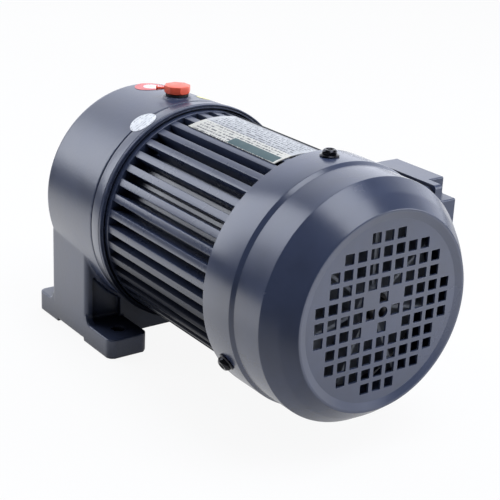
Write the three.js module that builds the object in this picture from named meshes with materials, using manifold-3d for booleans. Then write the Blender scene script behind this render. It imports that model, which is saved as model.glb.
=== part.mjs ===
// Foot-mounted gearmotor: a finned induction motor on a coaxial two-stage gearbox.
// Millimetres, +Z up. The foot stands on z = 0, the fan end points along +X and the
// output shaft along -X. The origin is the centre of the four foot holes.

import * as THREE from 'three';
import { mergeVertices } from 'three/addons/utils/BufferGeometryUtils.js';
import Module from 'manifold-3d';

const wasm = await Module();
wasm.setup();

// ---------------------------------------------------------------- driving dimensions

const AXIS_HEIGHT = 99;

// Foot and pedestal
const FOOT_LENGTH = 111.4;
const FOOT_WIDTH = 146;
const PAD_HEIGHT = 15;
const PAD_WIDTH = 32;
const FOOT_HOLE = { pitchX: 77.4, pitchY: 112, diameter: 9.4 };
const PEDESTAL = { front: -32.5, rear: 20, archRadius: 81.8, recess: 4.5 };
const RELIEF_DEPTH = 2.3;

// Gearbox
const GEARBOX = { front: -33.5, seam: 39.5, frontRadius: 77.4, seamRadius: 79.6, boreRadius: 70, floor: -20 };
const OUTPUT_BOSS = { face: -56, radius: 38 };
const BREATHER = { x: 22.4, flats: 9.6, height: 5.6 };
const ADAPTER = { front: 40, rear: 53.5, radius: 80.5, spigotFront: 36, recess: 50, bossRear: 70 };

// Gear train: both stages have the same pair, so the output lies on the motor axis
const MODULE = 1.5;
const PINION_TEETH = 15;
const GEAR_TEETH = 33;
const CENTRE_DISTANCE = MODULE * (PINION_TEETH + GEAR_TEETH) / 2;
const PRESSURE_ANGLE = THREE.MathUtils.degToRad(20);
const BACKLASH = 0.16;

// Output shaft
const SHAFT = { tip: -98, radius: 14, shoulder: -52 };
const KEY = { front: -93, rear: -61, width: 8, height: 7, depth: 4 };

// Motor
const STATOR = { front: 50, finFront: 57, finRear: 183, rear: 186, bore: 61, shell: 65, finTip: 76 };
const FIN_COUNT = 42;
const FIN_ROOT_WIDTH = 5.4;
const FIN_TIP_WIDTH = 4.9;
const FIN_PHASE = 2.1;
const CORE = { front: 88, rear: 162, outer: 60.9, bore: 37.6, rotor: 37 };

// Fan end
const COVER = { front: 183.2, step: 209.6, stepEnd: 213.4, shoulder: 238.6, rim: 257.7, face: 255.9 };
const COVER_RADIUS = { skirt: 81.8, rear: 80, rim: 65.2, face: 59.6 };
const COVER_WALL = 1.5;
const VENT = { pitch: 9.85, width: 7, centreRadius: 3.6 };
const VENT_ROWS = [5, 5, 4, 4, 3, 1];
const COVER_SCREW_X = 196;
const COVER_SCREW_ANGLES = [90, -30, 210];

// Fasteners that hold the castings together
const MOTOR_SCREW = { radius: 69.4, angles: [55, 145, 235, 325] };
const CASE_SCREW = { radius: 70.5, angles: [10, 100, 190, 280] };
const SHIELD_SCREW = { radius: 69.4, angles: [45, 135, 225, 315] };

// Terminal box on the +Y side
const BOX = { x: 146.2, length: 60, height: 76, seat: 74, seam: 111, wall: 4 };
const LID = { length: 64.6, height: 80, flange: 118, top: 132, notchX: 13.5, notchZ: 12, ledge: 1.2 };

// Rolling bearings: bore radius, outer radius and width
const BEARING = {
  b6201: { bore: 6, outer: 16, width: 10 },
  b6203: { bore: 8.5, outer: 20, width: 12 },
  b6204: { bore: 10, outer: 23.5, width: 14 },
  b6205: { bore: 12.5, outer: 26, width: 15 },
  b6206: { bore: 15, outer: 31, width: 16 },
};

const FIT = 0.02;
const BIG = 36;
const MEDIUM = 16;
const SMALL = 8;

// ---------------------------------------------------------------- finishes

const FINISHES = {
  enamel: { color: 0x5b6270, roughness: 0.42, metalness: 0.15 },
  blackOxide: { color: 0x17181b, roughness: 0.45, metalness: 0.6 },
  steel: { color: 0x9fa3a8, roughness: 0.32, metalness: 0.9 },
  machined: { color: 0xb9bcc0, roughness: 0.25, metalness: 0.95 },
  lamination: { color: 0x6f7276, roughness: 0.55, metalness: 0.7 },
  copper: { color: 0x9c5a30, roughness: 0.4, metalness: 0.8 },
  rubber: { color: 0x141416, roughness: 0.8, metalness: 0 },
  orange: { color: 0xe0532c, roughness: 0.45, metalness: 0 },
  fanPlastic: { color: 0x2b2c2f, roughness: 0.5, metalness: 0 },
  gasketPaper: { color: 0x2c2f36, roughness: 0.85, metalness: 0 },
  plate: { color: 0xd6d8d4, roughness: 0.35, metalness: 0.3 },
  board: { color: 0x6b4a2c, roughness: 0.6, metalness: 0 },
};

// ---------------------------------------------------------------- solids

/** A closed, outward-facing manifold made from a three.js geometry. */
function solid(geometry) {
  const bare = geometry.index ? geometry.toNonIndexed() : geometry.clone();
  bare.deleteAttribute('normal');
  bare.deleteAttribute('uv');
  const merged = mergeVertices(bare, 1e-4);
  const position = merged.attributes.position;
  const corners = [0, 1, 2].map(() => new THREE.Vector3());
  const kept = [];
  let volume = 0;
  for (let i = 0; i < merged.index.count; i += 3) {
    const triangle = [0, 1, 2].map((k) => merged.index.getX(i + k));
    if (new Set(triangle).size < 3) continue;
    triangle.forEach((index, k) => corners[k].fromBufferAttribute(position, index));
    volume += corners[0].dot(corners[1].clone().cross(corners[2]));
    kept.push(triangle);
  }
  if (volume < 0) kept.forEach((triangle) => triangle.reverse());
  const mesh = { numProp: 3, vertProperties: position.array, triVerts: new Uint32Array(kept.flat()) };
  return new wasm.Manifold(new wasm.Mesh(mesh));
}

/** Joins manifolds into one. */
function union(...parts) {
  return parts.reduce((whole, part) => whole.add(part));
}

/** Cuts every tool from a manifold. */
function cut(body, ...tools) {
  return tools.reduce((rest, tool) => rest.subtract(tool), body);
}

/** Turned about the X axis from [x, radius] points that close on themselves or on the axis. */
function turned(points, segments = BIG) {
  const onAxis = points[0][1] === 0;
  const loop = onAxis ? points : [...points, points[0]];
  const profile = loop.map(([x, radius]) => new THREE.Vector2(radius, x));
  return solid(new THREE.LatheGeometry(profile, segments).rotateZ(-Math.PI / 2));
}

/** A plain ring or sleeve about the X axis. */
function sleeve(x0, x1, inner, outer, segments = BIG) {
  return turned([[x0, inner], [x0, outer], [x1, outer], [x1, inner]], segments);
}

/** A rod along X, centred on (y, z). */
function rodX(x0, x1, radius, y = 0, z = 0, segments = MEDIUM) {
  const rod = new THREE.CylinderGeometry(radius, radius, x1 - x0, segments).rotateZ(Math.PI / 2);
  return solid(rod.translate((x0 + x1) / 2, y, z));
}

/** A rod along Z, centred on (x, y). */
function rodZ(z0, z1, radius, x = 0, y = 0, segments = MEDIUM) {
  const rod = new THREE.CylinderGeometry(radius, radius, z1 - z0, segments).rotateX(Math.PI / 2);
  return solid(rod.translate(x, y, (z0 + z1) / 2));
}

/** A box from its lowest to its highest corner. */
function block([x0, y0, z0], [x1, y1, z1]) {
  const box = new THREE.BoxGeometry(x1 - x0, y1 - y0, z1 - z0);
  return solid(box.translate((x0 + x1) / 2, (y0 + y1) / 2, (z0 + z1) / 2));
}

const ALONG_X = new THREE.Matrix4().makeBasis(
  new THREE.Vector3(0, 1, 0), new THREE.Vector3(0, 0, 1), new THREE.Vector3(1, 0, 0));
const ALONG_Y = new THREE.Matrix4().makeBasis(
  new THREE.Vector3(0, 0, 1), new THREE.Vector3(1, 0, 0), new THREE.Vector3(0, 1, 0));

/** A flat outline drawn in Y-Z and pushed along X. */
function pushedX(shape, x0, x1, curveSegments = 12) {
  const options = { depth: x1 - x0, bevelEnabled: false, curveSegments };
  const geometry = new THREE.ExtrudeGeometry(shape, options);
  return solid(geometry.applyMatrix4(ALONG_X).translate(x0, 0, 0));
}

/** A flat outline drawn in Z-X and pushed along Y. */
function pushedY(shape, y0, y1, curveSegments = 3) {
  const options = { depth: y1 - y0, bevelEnabled: false, curveSegments };
  const geometry = new THREE.ExtrudeGeometry(shape, options);
  return solid(geometry.applyMatrix4(ALONG_Y).translate(0, y0, 0));
}

/** A flat outline drawn in X-Y and pushed along Z. */
function pushedZ(shape, z0, z1, curveSegments = 3) {
  const options = { depth: z1 - z0, bevelEnabled: false, curveSegments };
  return solid(new THREE.ExtrudeGeometry(shape, options).translate(0, 0, z0));
}

/** A rectangle with rounded corners. */
function roundedRectangle(x0, y0, x1, y1, radius) {
  const shape = new THREE.Shape();
  shape.moveTo(x0 + radius, y0);
  shape.lineTo(x1 - radius, y0);
  shape.absarc(x1 - radius, y0 + radius, radius, -Math.PI / 2, 0);
  shape.lineTo(x1, y1 - radius);
  shape.absarc(x1 - radius, y1 - radius, radius, 0, Math.PI / 2);
  shape.lineTo(x0 + radius, y1);
  shape.absarc(x0 + radius, y1 - radius, radius, Math.PI / 2, Math.PI);
  shape.lineTo(x0, y0 + radius);
  shape.absarc(x0 + radius, y0 + radius, radius, Math.PI, 1.5 * Math.PI);
  return shape;
}

/** A point at a radius and angle about the X axis: 0 degrees is -Y and 90 degrees is +Z. */
function around(radius, degrees) {
  const angle = THREE.MathUtils.degToRad(degrees);
  return { y: -radius * Math.cos(angle), z: radius * Math.sin(angle) };
}

/** Rods along X, one at each angle. */
function rodsAround({ radius, angles }, x0, x1, rodRadius) {
  return angles.map((angle) => {
    const { y, z } = around(radius, angle);
    return rodX(x0, x1, rodRadius, y, z, SMALL);
  });
}

// ---------------------------------------------------------------- scene graph

const group = new THREE.Group();
const machine = new THREE.Group();
machine.position.z = AXIS_HEIGHT;
group.add(machine);

/** Adds a manifold to the scene as a named mesh with its own material. */
function place(name, manifold, finish, parent = machine) {
  const { vertProperties, triVerts } = manifold.getMesh();
  const geometry = new THREE.BufferGeometry();
  geometry.setAttribute('position', new THREE.BufferAttribute(vertProperties, 3));
  geometry.setIndex(new THREE.BufferAttribute(triVerts, 1));
  geometry.computeVertexNormals();
  const mesh = new THREE.Mesh(geometry, new THREE.MeshStandardMaterial(FINISHES[finish]));
  mesh.name = name;
  parent.add(mesh);
  return mesh;
}

// ---------------------------------------------------------------- gears

/** Half the angle that a tooth covers at a radius. */
function toothHalfAngle(radius, teeth) {
  const pitchRadius = MODULE * teeth / 2;
  const baseRadius = pitchRadius * Math.cos(PRESSURE_ANGLE);
  const local = Math.acos(Math.min(1, baseRadius / radius));
  const atPitch = Math.PI / (2 * teeth) - BACKLASH / (4 * pitchRadius);
  return atPitch + Math.tan(PRESSURE_ANGLE) - PRESSURE_ANGLE - Math.tan(local) + local;
}

/** Involute outline in the Y-Z plane with one tooth centred on an angle. */
function gearShape(teeth, toothAngle) {
  const pitchRadius = MODULE * teeth / 2;
  const baseRadius = pitchRadius * Math.cos(PRESSURE_ANGLE);
  const rootRadius = pitchRadius - 1.25 * MODULE;
  const tipRadius = pitchRadius + 0.96 * MODULE;
  const radii = teeth > 20 ? [baseRadius, tipRadius] : [baseRadius, pitchRadius, tipRadius];
  const flank = radii.map((radius) => [radius, toothHalfAngle(radius, teeth)]);
  flank[0][0] = rootRadius;
  const points = [];
  for (let tooth = 0; tooth < teeth; tooth += 1) {
    const middle = toothAngle + tooth * 2 * Math.PI / teeth;
    const rising = flank.map(([radius, half]) => [radius, middle - half]);
    const falling = flank.map(([radius, half]) => [radius, middle + half]).reverse();
    points.push(...rising, ...falling);
  }
  return new THREE.Shape(points.map(([r, a]) => new THREE.Vector2(r * Math.cos(a), r * Math.sin(a))));
}

/** A gear from x0 to x1 whose axis passes through (0, z). */
function gear(teeth, toothAngle, x0, x1, z = 0) {
  return pushedX(gearShape(teeth, toothAngle), x0, x1).translate([0, 0, z]);
}

const UP = Math.PI / 2;
const DOWN = -Math.PI / 2;
const HALF_PITCH = Math.PI / GEAR_TEETH;

// ---------------------------------------------------------------- bearings and screws

/** Places the two races of a bearing; the inner one turns with its shaft. */
function bearing(name, { bore, outer, width }, x0, z = 0) {
  const race = (outer - bore) * 0.3;
  const inner = sleeve(x0, x0 + width, bore + FIT, bore + race, MEDIUM).translate([0, 0, z]);
  const ring = sleeve(x0, x0 + width, outer - race, outer - FIT, MEDIUM).translate([0, 0, z]);
  place(`${name}_inner_ring`, inner, 'steel');
  place(`${name}_outer_ring`, ring, 'steel');
}

/** A socket-head screw along -X, with the underside of its head at x = 0. */
function capScrew(threadRadius, length) {
  const headRadius = threadRadius * 1.7;
  const headHeight = threadRadius * 2;
  const socketDepth = headHeight * 0.6;
  const body = turned([
    [-length, 0], [-length, threadRadius], [0, threadRadius], [0, headRadius], [headHeight, headRadius],
    [headHeight, 0],
  ], SMALL);
  return cut(body, rodX(headHeight - socketDepth, headHeight + 1, threadRadius * 0.9, 0, 0, 6));
}

/** A hexagon screw with a flange, along +Z, with the underside of its flange at z = 0. */
function flangeScrew(threadRadius, length) {
  const shank = turned([
    [-length, 0], [-length, threadRadius], [0, threadRadius], [0, 6.2], [0.8, 6.2], [1.4, 5.2], [1.4, 0],
  ], SMALL);
  const head = rodX(1, 3.4, 5.1, 0, 0, 6);
  const dome = turned([[3, 0], [3, 4.4], [4.4, 3.4], [4.4, 0]], SMALL);
  const dish = rodX(3.9, 5, 2.4, 0, 0, SMALL);
  return cut(union(shank, head, dome), dish).rotate([0, -90, 0]);
}

/** Places one cap screw at each angle of a pattern about the motor axis. */
function screwsAround(name, { radius, angles }, seatX, screw) {
  angles.forEach((angle, index) => {
    const { y, z } = around(radius, angle);
    place(`${name}_${index + 1}`, screw, 'blackOxide').position.set(seatX, y, z);
  });
}

// ---------------------------------------------------------------- gearbox

/** One pad of the foot: signs pick the corner. */
function footPad(signX, signY) {
  const xs = [signX * (FOOT_LENGTH / 2), signX > 0 ? PEDESTAL.rear - 6 : PEDESTAL.front + 6];
  const ys = [signY * FOOT_WIDTH / 2, signY * (FOOT_WIDTH / 2 - PAD_WIDTH)];
  const outline = roundedRectangle(Math.min(...xs), Math.min(...ys), Math.max(...xs), Math.max(...ys), 4.5);
  return pushedZ(outline, -AXIS_HEIGHT, -AXIS_HEIGHT + PAD_HEIGHT);
}

/** Upright recesses between the ribs of the pedestal's front or rear face, arched at the top. */
function pedestalRecesses(faceX, inward) {
  const xs = [faceX - inward, faceX + inward * PEDESTAL.recess];
  const bands = [[44, 67], [-67, -44], [-38, 38]];
  const arch = rodX(Math.min(...xs) - 1, Math.max(...xs) + 1, PEDESTAL.archRadius, 0, 0, BIG);
  return bands.map(([y0, y1]) => cut(
    block([Math.min(...xs), y0, -AXIS_HEIGHT + PAD_HEIGHT], [Math.max(...xs), y1, -20]), arch));
}

/** Casting pockets and machining relief under the foot. */
function underside() {
  const pockets = [-1, 1].map((side) => {
    const ys = [side * 24, side * 62];
    return block([-20, Math.min(...ys), -AXIS_HEIGHT - 1], [10, Math.max(...ys), -AXIS_HEIGHT + 30]);
  });
  const reliefs = [-1, 1].map((side) => {
    const ys = [side * 20, side * (FOOT_WIDTH / 2 + 1)];
    const top = -AXIS_HEIGHT + RELIEF_DEPTH;
    return block([-23.5, Math.min(...ys), -AXIS_HEIGHT - 1], [16.5, Math.max(...ys), top]);
  });
  return [...pockets, ...reliefs];
}

/** Holes for the four foundation bolts. */
function footHoles() {
  const { pitchX, pitchY, diameter } = FOOT_HOLE;
  const corners = [[-1, -1], [-1, 1], [1, -1], [1, 1]];
  return corners.map(([sx, sy]) => rodZ(
    -AXIS_HEIGHT - 1, -AXIS_HEIGHT + PAD_HEIGHT + 1, diameter / 2, sx * pitchX / 2, sy * pitchY / 2, 24));
}

/** The drafted barrel with its output boss, still solid. */
function gearboxBarrel() {
  const { front, seam, frontRadius, seamRadius } = GEARBOX;
  const corner = [25, 60].map((degrees) => {
    const angle = THREE.MathUtils.degToRad(degrees);
    return [front + 5 - 5 * Math.cos(angle), frontRadius - 5 + 5 * Math.sin(angle)];
  });
  return turned([
    [OUTPUT_BOSS.face, 0], [OUTPUT_BOSS.face, OUTPUT_BOSS.radius - 1.5],
    [OUTPUT_BOSS.face + 1.5, OUTPUT_BOSS.radius], [front - 3, OUTPUT_BOSS.radius + 1],
    [front, OUTPUT_BOSS.radius + 4], [front, frontRadius - 5], ...corner,
    [front + 5, frontRadius], [seam, seamRadius], [seam, 0],
  ]);
}

/** The stepped bore that holds the output seal and its two bearings. */
function outputBore() {
  return turned([
    [OUTPUT_BOSS.face - 1, 0], [OUTPUT_BOSS.face - 1, 31], [-32, 31], [-32, 24], [-30, 24], [-30, 26],
    [-13, 26], [-13, 0],
  ], MEDIUM);
}

function gearHousing() {
  const corners = [[-1, -1], [-1, 1], [1, -1], [1, 1]];
  const pads = corners.map(([sx, sy]) => footPad(sx, sy));
  const half = FOOT_WIDTH / 2;
  const pedestal = block([PEDESTAL.front, -half, -AXIS_HEIGHT], [PEDESTAL.rear, half, -28]);
  const foot = cut(
    union(pedestal, ...pads), ...pedestalRecesses(PEDESTAL.rear, -1), ...pedestalRecesses(PEDESTAL.front, 1),
    ...underside());
  const outside = union(foot, gearboxBarrel());
  const breatherSeat = rodZ(72, GEARBOX.seamRadius + 0.4, 10, BREATHER.x, 0, 24);
  const hollow = cut(
    union(outside, breatherSeat), rodX(GEARBOX.floor, GEARBOX.seam + 1, GEARBOX.boreRadius, 0, 0, BIG));
  const hub = rodX(GEARBOX.floor - 1, -14, 33);
  const counterBoss = rodX(GEARBOX.floor - 1, -2, 20, 0, CENTRE_DISTANCE);
  const lugs = rodsAround(CASE_SCREW, 20, ADAPTER.spigotFront - 0.3, 7)
    .map((lug) => lug.intersect(rodX(19, 37, 75, 0, 0, BIG)));
  return cut(
    union(hollow, hub, counterBoss, ...lugs),
    outputBore(),
    rodX(-13, -1, BEARING.b6201.outer, 0, CENTRE_DISTANCE),
    rodZ(60, 90, 6.1, BREATHER.x, 0, 16),
    ...rodsAround(CASE_SCREW, 24, 41, 2.6),
    ...footHoles());
}

function caseGasket() {
  const ring = sleeve(GEARBOX.seam, ADAPTER.front, GEARBOX.boreRadius + 0.3, GEARBOX.seamRadius - 0.4);
  return cut(ring, ...rodsAround(CASE_SCREW, GEARBOX.seam - 1, ADAPTER.front + 1, 2.7));
}

function adapterFlange() {
  const { front, rear, radius, spigotFront, recess, bossRear } = ADAPTER;
  const outside = turned([
    [spigotFront, 0], [spigotFront, GEARBOX.boreRadius - 0.3], [front, GEARBOX.boreRadius - 0.3],
    [front, radius - 0.6], [rear, radius], [rear, 77.3], [recess, 77.3], [recess, 34], [rear, 29.5],
    [bossRear, 29.5], [bossRear, 0],
  ]);
  const bore = turned([
    [spigotFront - 1, 0], [spigotFront - 1, 15], [44, 15], [44, 11], [rear, 11],
    [rear, BEARING.b6204.outer], [bossRear + 1, BEARING.b6204.outer], [bossRear + 1, 0],
  ], MEDIUM);
  return cut(
    outside,
    bore,
    rodX(spigotFront - 1, 48, BEARING.b6201.outer, 0, CENTRE_DISTANCE),
    ...rodsAround(CASE_SCREW, spigotFront - 1, rear, 2.7),
    ...rodsAround(CASE_SCREW, 44, rear, 4.6),
    ...rodsAround(MOTOR_SCREW, 41, rear, 2.6));
}

function outputShaft() {
  const { tip, radius, shoulder } = SHAFT;
  const body = turned([
    [tip, 0], [tip, radius - 1], [tip + 1, radius], [shoulder, radius], [shoulder, 15], [-31, 15],
    [-31, 12.5], [-14, 12.5], [-14, 12], [18.6, 12], [18.6, 11.2], [19.8, 11.2], [19.8, 12],
    [21 - 0.8, 12], [21 - 0.8, 0],
  ], MEDIUM);
  const centreHole = turned([
    [tip - 1, 0], [tip - 1, 6.5], [tip, 5.5], [tip + 2, 4.2], [tip + 22, 4.2], [tip + 24, 0],
  ], SMALL);
  return cut(body, keyBlock(0.05, radius + 1), centreHole);
}

/** The parallel key, or its keyway when grown by a clearance. */
function keyBlock(clearance, top) {
  const half = KEY.width / 2 + clearance;
  const outline = roundedRectangle(KEY.front - clearance, -half, KEY.rear + clearance, half, half - 0.01);
  return pushedZ(outline, SHAFT.radius - KEY.depth - clearance, top, 5);
}

function outputGear() {
  const blank = gear(GEAR_TEETH, UP + HALF_PITCH, 1, 17);
  return cut(union(blank, rodX(-1, 18.4, 17)), rodX(-3, 20, 12 + FIT));
}

/** A split ring that snaps into a shaft groove, open at the bottom. */
function circlip(x0, x1, inner, outer) {
  const gap = block([x0 - 1, -inner * 0.35, -outer - 1], [x1 + 1, inner * 0.35, 0]);
  return cut(sleeve(x0, x1, inner, outer, MEDIUM), gap);
}

function countershaft() {
  const z = CENTRE_DISTANCE;
  const shaft = turned([
    [-13, 0], [-13, 5.5], [-12.5, 6], [-2.9, 6], [-2.9, 8], [0.5, 8], [0.5, 9], [36, 9], [36, 8], [37.8, 8],
    [37.8, 6], [47.3, 6], [47.8, 5.5], [47.8, 0],
  ], MEDIUM).translate([0, 0, z]);
  return union(shaft, gear(PINION_TEETH, DOWN, 0, 18, z));
}

function firstStageGear() {
  const z = CENTRE_DISTANCE;
  const blank = gear(GEAR_TEETH, DOWN + HALF_PITCH, 22.5, 33.5, z);
  return cut(union(blank, rodX(18.5, 35.5, 14, 0, z)), rodX(17, 37, 9 + FIT, 0, z, MEDIUM));
}

place('gear_housing', gearHousing(), 'enamel');
place('case_gasket', caseGasket(), 'gasketPaper');
place('adapter_flange', adapterFlange(), 'enamel');
screwsAround('case_screw', CASE_SCREW, 44.1, capScrew(2.5, 16));

place('output_shaft', outputShaft(), 'machined');
place('output_key', keyBlock(0, SHAFT.radius - KEY.depth + KEY.height), 'steel');
place('output_gear', outputGear(), 'steel');
place('output_gear_circlip', circlip(18.7, 19.7, 11.3, 14), 'blackOxide');
place('output_oil_seal', sleeve(-55.5, -48.5, 15.5, 30.95, MEDIUM), 'rubber');
bearing('output_front_bearing', BEARING.b6206, -48);
bearing('output_rear_bearing', BEARING.b6205, -29.5);

place('countershaft', countershaft(), 'steel');
place('first_stage_gear', firstStageGear(), 'steel');
bearing('countershaft_front_bearing', BEARING.b6201, -12.95, CENTRE_DISTANCE);
bearing('countershaft_rear_bearing', BEARING.b6201, 37.9, CENTRE_DISTANCE);

// ---------------------------------------------------------------- breather

/** An eight-sided vented filler plug with a thin side spout, screwed into the gearbox top. */
function breatherPlug() {
  const { x, flats, height } = BREATHER;
  const base = GEARBOX.seamRadius + 2.6;
  const chamfer = 1.2;
  const octagon = (top, bottom, tall) => {
    const drum = new THREE.CylinderGeometry(top, bottom, tall, 8).rotateX(Math.PI / 2);
    return solid(drum.rotateZ(THREE.MathUtils.degToRad(26))).translate([0, 0, base]);
  };
  const stem = rodZ(67, base + 1, 5.8, 0, 0, 16);
  const foot = octagon(flats, flats - 1.8, chamfer).translate([0, 0, chamfer / 2]);
  const head = octagon(flats, flats, height - chamfer).translate([0, 0, (height + chamfer) / 2]);
  const spout = solid(new THREE.CylinderGeometry(1, 1, 7, 8).rotateZ(Math.PI / 2)).translate([-10.8, 0, 0]);
  const button = rodX(-15.2, -14, 1.9, 0, 0, 12);
  const side = union(spout, button).rotate([0, 0, 53]).translate([0, 0, base + height / 2]);
  return union(stem, foot, head, side).translate([x, 0, 0]);
}

function breatherWasher() {
  const low = GEARBOX.seamRadius + 0.5;
  return cut(rodZ(low, low + 2, 8.6, BREATHER.x, 0, 24), rodZ(low - 1, low + 3, 6, BREATHER.x, 0, 16));
}

place('breather_plug', breatherPlug(), 'orange');
place('breather_washer', breatherWasher(), 'rubber');

// ---------------------------------------------------------------- motor

/** The stator frame's outline across the motor: a round shell with tapered radial fins. */
function finnedShape() {
  const pitch = 2 * Math.PI / FIN_COUNT;
  const phase = THREE.MathUtils.degToRad(FIN_PHASE);
  const points = [];
  for (let fin = 0; fin < FIN_COUNT; fin += 1) {
    const middle = phase + fin * pitch;
    const root = FIN_ROOT_WIDTH / 2 / STATOR.shell;
    const tip = FIN_TIP_WIDTH / 2 / STATOR.finTip;
    points.push([STATOR.shell, middle - root], [STATOR.finTip, middle - tip]);
    points.push([STATOR.finTip, middle + tip], [STATOR.shell, middle + root]);
  }
  return new THREE.Shape(points.map(([r, a]) => new THREE.Vector2(-r * Math.cos(a), r * Math.sin(a))));
}

/** The flat pad that carries the terminal box, and the space kept clear above it. */
function boxSeat() {
  const halfX = BOX.length / 2;
  const halfZ = BOX.height / 2;
  const [front, rear] = [BOX.x - halfX, BOX.x + halfX];
  const pad = block([front + 2, 58, -halfZ + 3], [rear - 2, BOX.seat, halfZ - 3]);
  const above = block([front - 0.5, BOX.seat, -halfZ - 2], [rear + 0.5, BOX.seat + 5, halfZ + 2]);
  return { pad, above };
}

function statorHousing() {
  const { front, finFront, finRear, rear, bore, shell, finTip } = STATOR;
  const { pad, above } = boxSeat();
  const fins = pushedX(finnedShape(), finFront, finRear);
  const flangeRadius = finTip + 0.35;
  const flanges = [[front, finFront], [finRear, rear]].map(([x0, x1]) => sleeve(x0, x1, shell - 2, flangeRadius));
  const whole = cut(
    union(fins, ...flanges, pad),
    above,
    rodX(front - 1, rear + 1, bore, 0, 0, BIG),
    ...rodsAround(MOTOR_SCREW, front - 1, finFront, 2.7),
    ...rodsAround({ ...MOTOR_SCREW, radius: MOTOR_SCREW.radius + 0.6 }, finFront - 0.5, finFront + 13, 5.4),
    ...rodsAround(SHIELD_SCREW, rear - 9, rear + 1, 2.6));
  const wireHole = solid(new THREE.CylinderGeometry(9, 9, 30, 24)).translate([BOX.x, 68, 0]);
  return cut(whole, wireHole);
}

/** Half of the winding: the bundle of coil ends outside the laminations. */
function endWinding(x0, x1) {
  return turned([[x0, 44], [x0, 56], [x1, 58], [x1, 42]], MEDIUM);
}

function rotorShaft() {
  const body = turned([
    [22, 0], [22, 7.5], [36.2, 7.5], [36.2, 8.5], [50, 8.5], [50, 10], [69.5, 10], [69.5, 12.5],
    [86, 12.5], [86, 13], [164, 13], [164, 12], [189, 12], [189, 8.5], [202, 8.5], [202, 8],
    [247.6, 8], [247.6, 7.4], [248.8, 7.4], [248.8, 8], [251, 8], [251.8, 7.2], [251.8, 0],
  ], MEDIUM);
  return union(body, gear(PINION_TEETH, UP, 21.5, 36));
}

/** The squirrel cage: lamination stack with cast end rings. */
function rotorCore() {
  const { front, rear, rotor } = CORE;
  return turned([
    [front - 6, 20], [front - 6, 33], [front, 33], [front, rotor], [rear, rotor], [rear, 33],
    [rear + 6, 33], [rear + 6, 20], [rear, 20], [rear, 13 + FIT], [front, 13 + FIT], [front, 20],
  ], MEDIUM);
}

/** Screws that hold the fan cover need lugs behind its rim. */
function coverLug(angle) {
  const reach = COVER_RADIUS.skirt - COVER_WALL - 0.1;
  const lug = block([191, -8, 66], [203, 8, reach + 1]);
  const round = rodX(190, 204, reach, 0, 0, BIG);
  return lug.rotate([angle - 90, 0, 0]).intersect(round);
}

/** Radial rods at the fan cover's screw positions. */
function coverScrewRods(radius, length) {
  return COVER_SCREW_ANGLES.map((angle) => {
    return rodZ(84 - length, 84, radius, COVER_SCREW_X, 0, SMALL).rotate([angle - 90, 0, 0]);
  });
}

function rearEndShield() {
  const outside = turned([
    [187.5, 0], [187.5, 26], [187, 55], [182, 55], [182, 60.8], [186.05, 60.8], [186.05, 77.5],
    [192, 77.5], [192, 60], [195, 26], [206, 26], [206, 0],
  ]);
  const bore = turned([
    [186, 0], [186, BEARING.b6203.outer], [203, BEARING.b6203.outer], [203, 10], [207, 10], [207, 0],
  ], MEDIUM);
  return cut(
    union(outside, ...COVER_SCREW_ANGLES.map(coverLug)),
    bore,
    ...rodsAround(SHIELD_SCREW, 185, 194, 2.7),
    ...coverScrewRods(2.15, 14));
}

place('stator_housing', statorHousing(), 'enamel');
place('stator_core', sleeve(CORE.front, CORE.rear, CORE.bore, CORE.outer), 'lamination');
place('front_end_winding', endWinding(73, 87.9), 'copper');
place('rear_end_winding', endWinding(162.1, 177), 'copper');
place('rotor_shaft', rotorShaft(), 'steel');
place('rotor_core', rotorCore(), 'lamination');
place('rotor_oil_seal', sleeve(37, 43.9, 8.75, 14.95, MEDIUM), 'rubber');
bearing('rotor_front_bearing', BEARING.b6204, 54);
bearing('rotor_rear_bearing', BEARING.b6203, 189.5);
place('rear_end_shield', rearEndShield(), 'enamel');
screwsAround('motor_screw', MOTOR_SCREW, STATOR.finFront + 0.1, capScrew(2.5, 13));
screwsAround('shield_screw', SHIELD_SCREW, 192.1, capScrew(2.5, 13));

// ---------------------------------------------------------------- fan and fan cover

/** Points of the quarter-round shoulder between the cover's side and its rim. */
function shoulderArc(inset) {
  const dx = COVER.rim - COVER.shoulder - inset;
  const dr = COVER_RADIUS.rear - COVER_RADIUS.rim;
  return [30, 60].map((degrees) => {
    const angle = THREE.MathUtils.degToRad(degrees);
    const bulge = 0.15;
    const arcX = Math.sin(angle);
    const arcR = 1 - Math.cos(angle);
    const line = degrees / 90;
    const x = COVER.shoulder + dx * (bulge * arcX + (1 - bulge) * line);
    const r = COVER_RADIUS.rear - inset - dr * (bulge * arcR + (1 - bulge) * line);
    return [x, r];
  });
}

/** The drawn steel cover, closed at its rear end and without vents. */
function coverShell() {
  const wall = COVER_WALL;
  const { skirt, rear, rim, face } = COVER_RADIUS;
  return turned([
    [COVER.face, 0], [COVER.face, face], [COVER.rim, rim], ...shoulderArc(0).reverse(),
    [COVER.shoulder, rear], [COVER.stepEnd, rear], [COVER.step, skirt], [COVER.front, skirt],
    [COVER.front, skirt - wall], [COVER.step, skirt - wall], [COVER.stepEnd, rear - wall],
    [COVER.shoulder, rear - wall], ...shoulderArc(wall), [COVER.rim - wall, rim - wall],
    [COVER.face - wall, face - 0.3], [COVER.face - wall, 0],
  ]);
}

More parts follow.
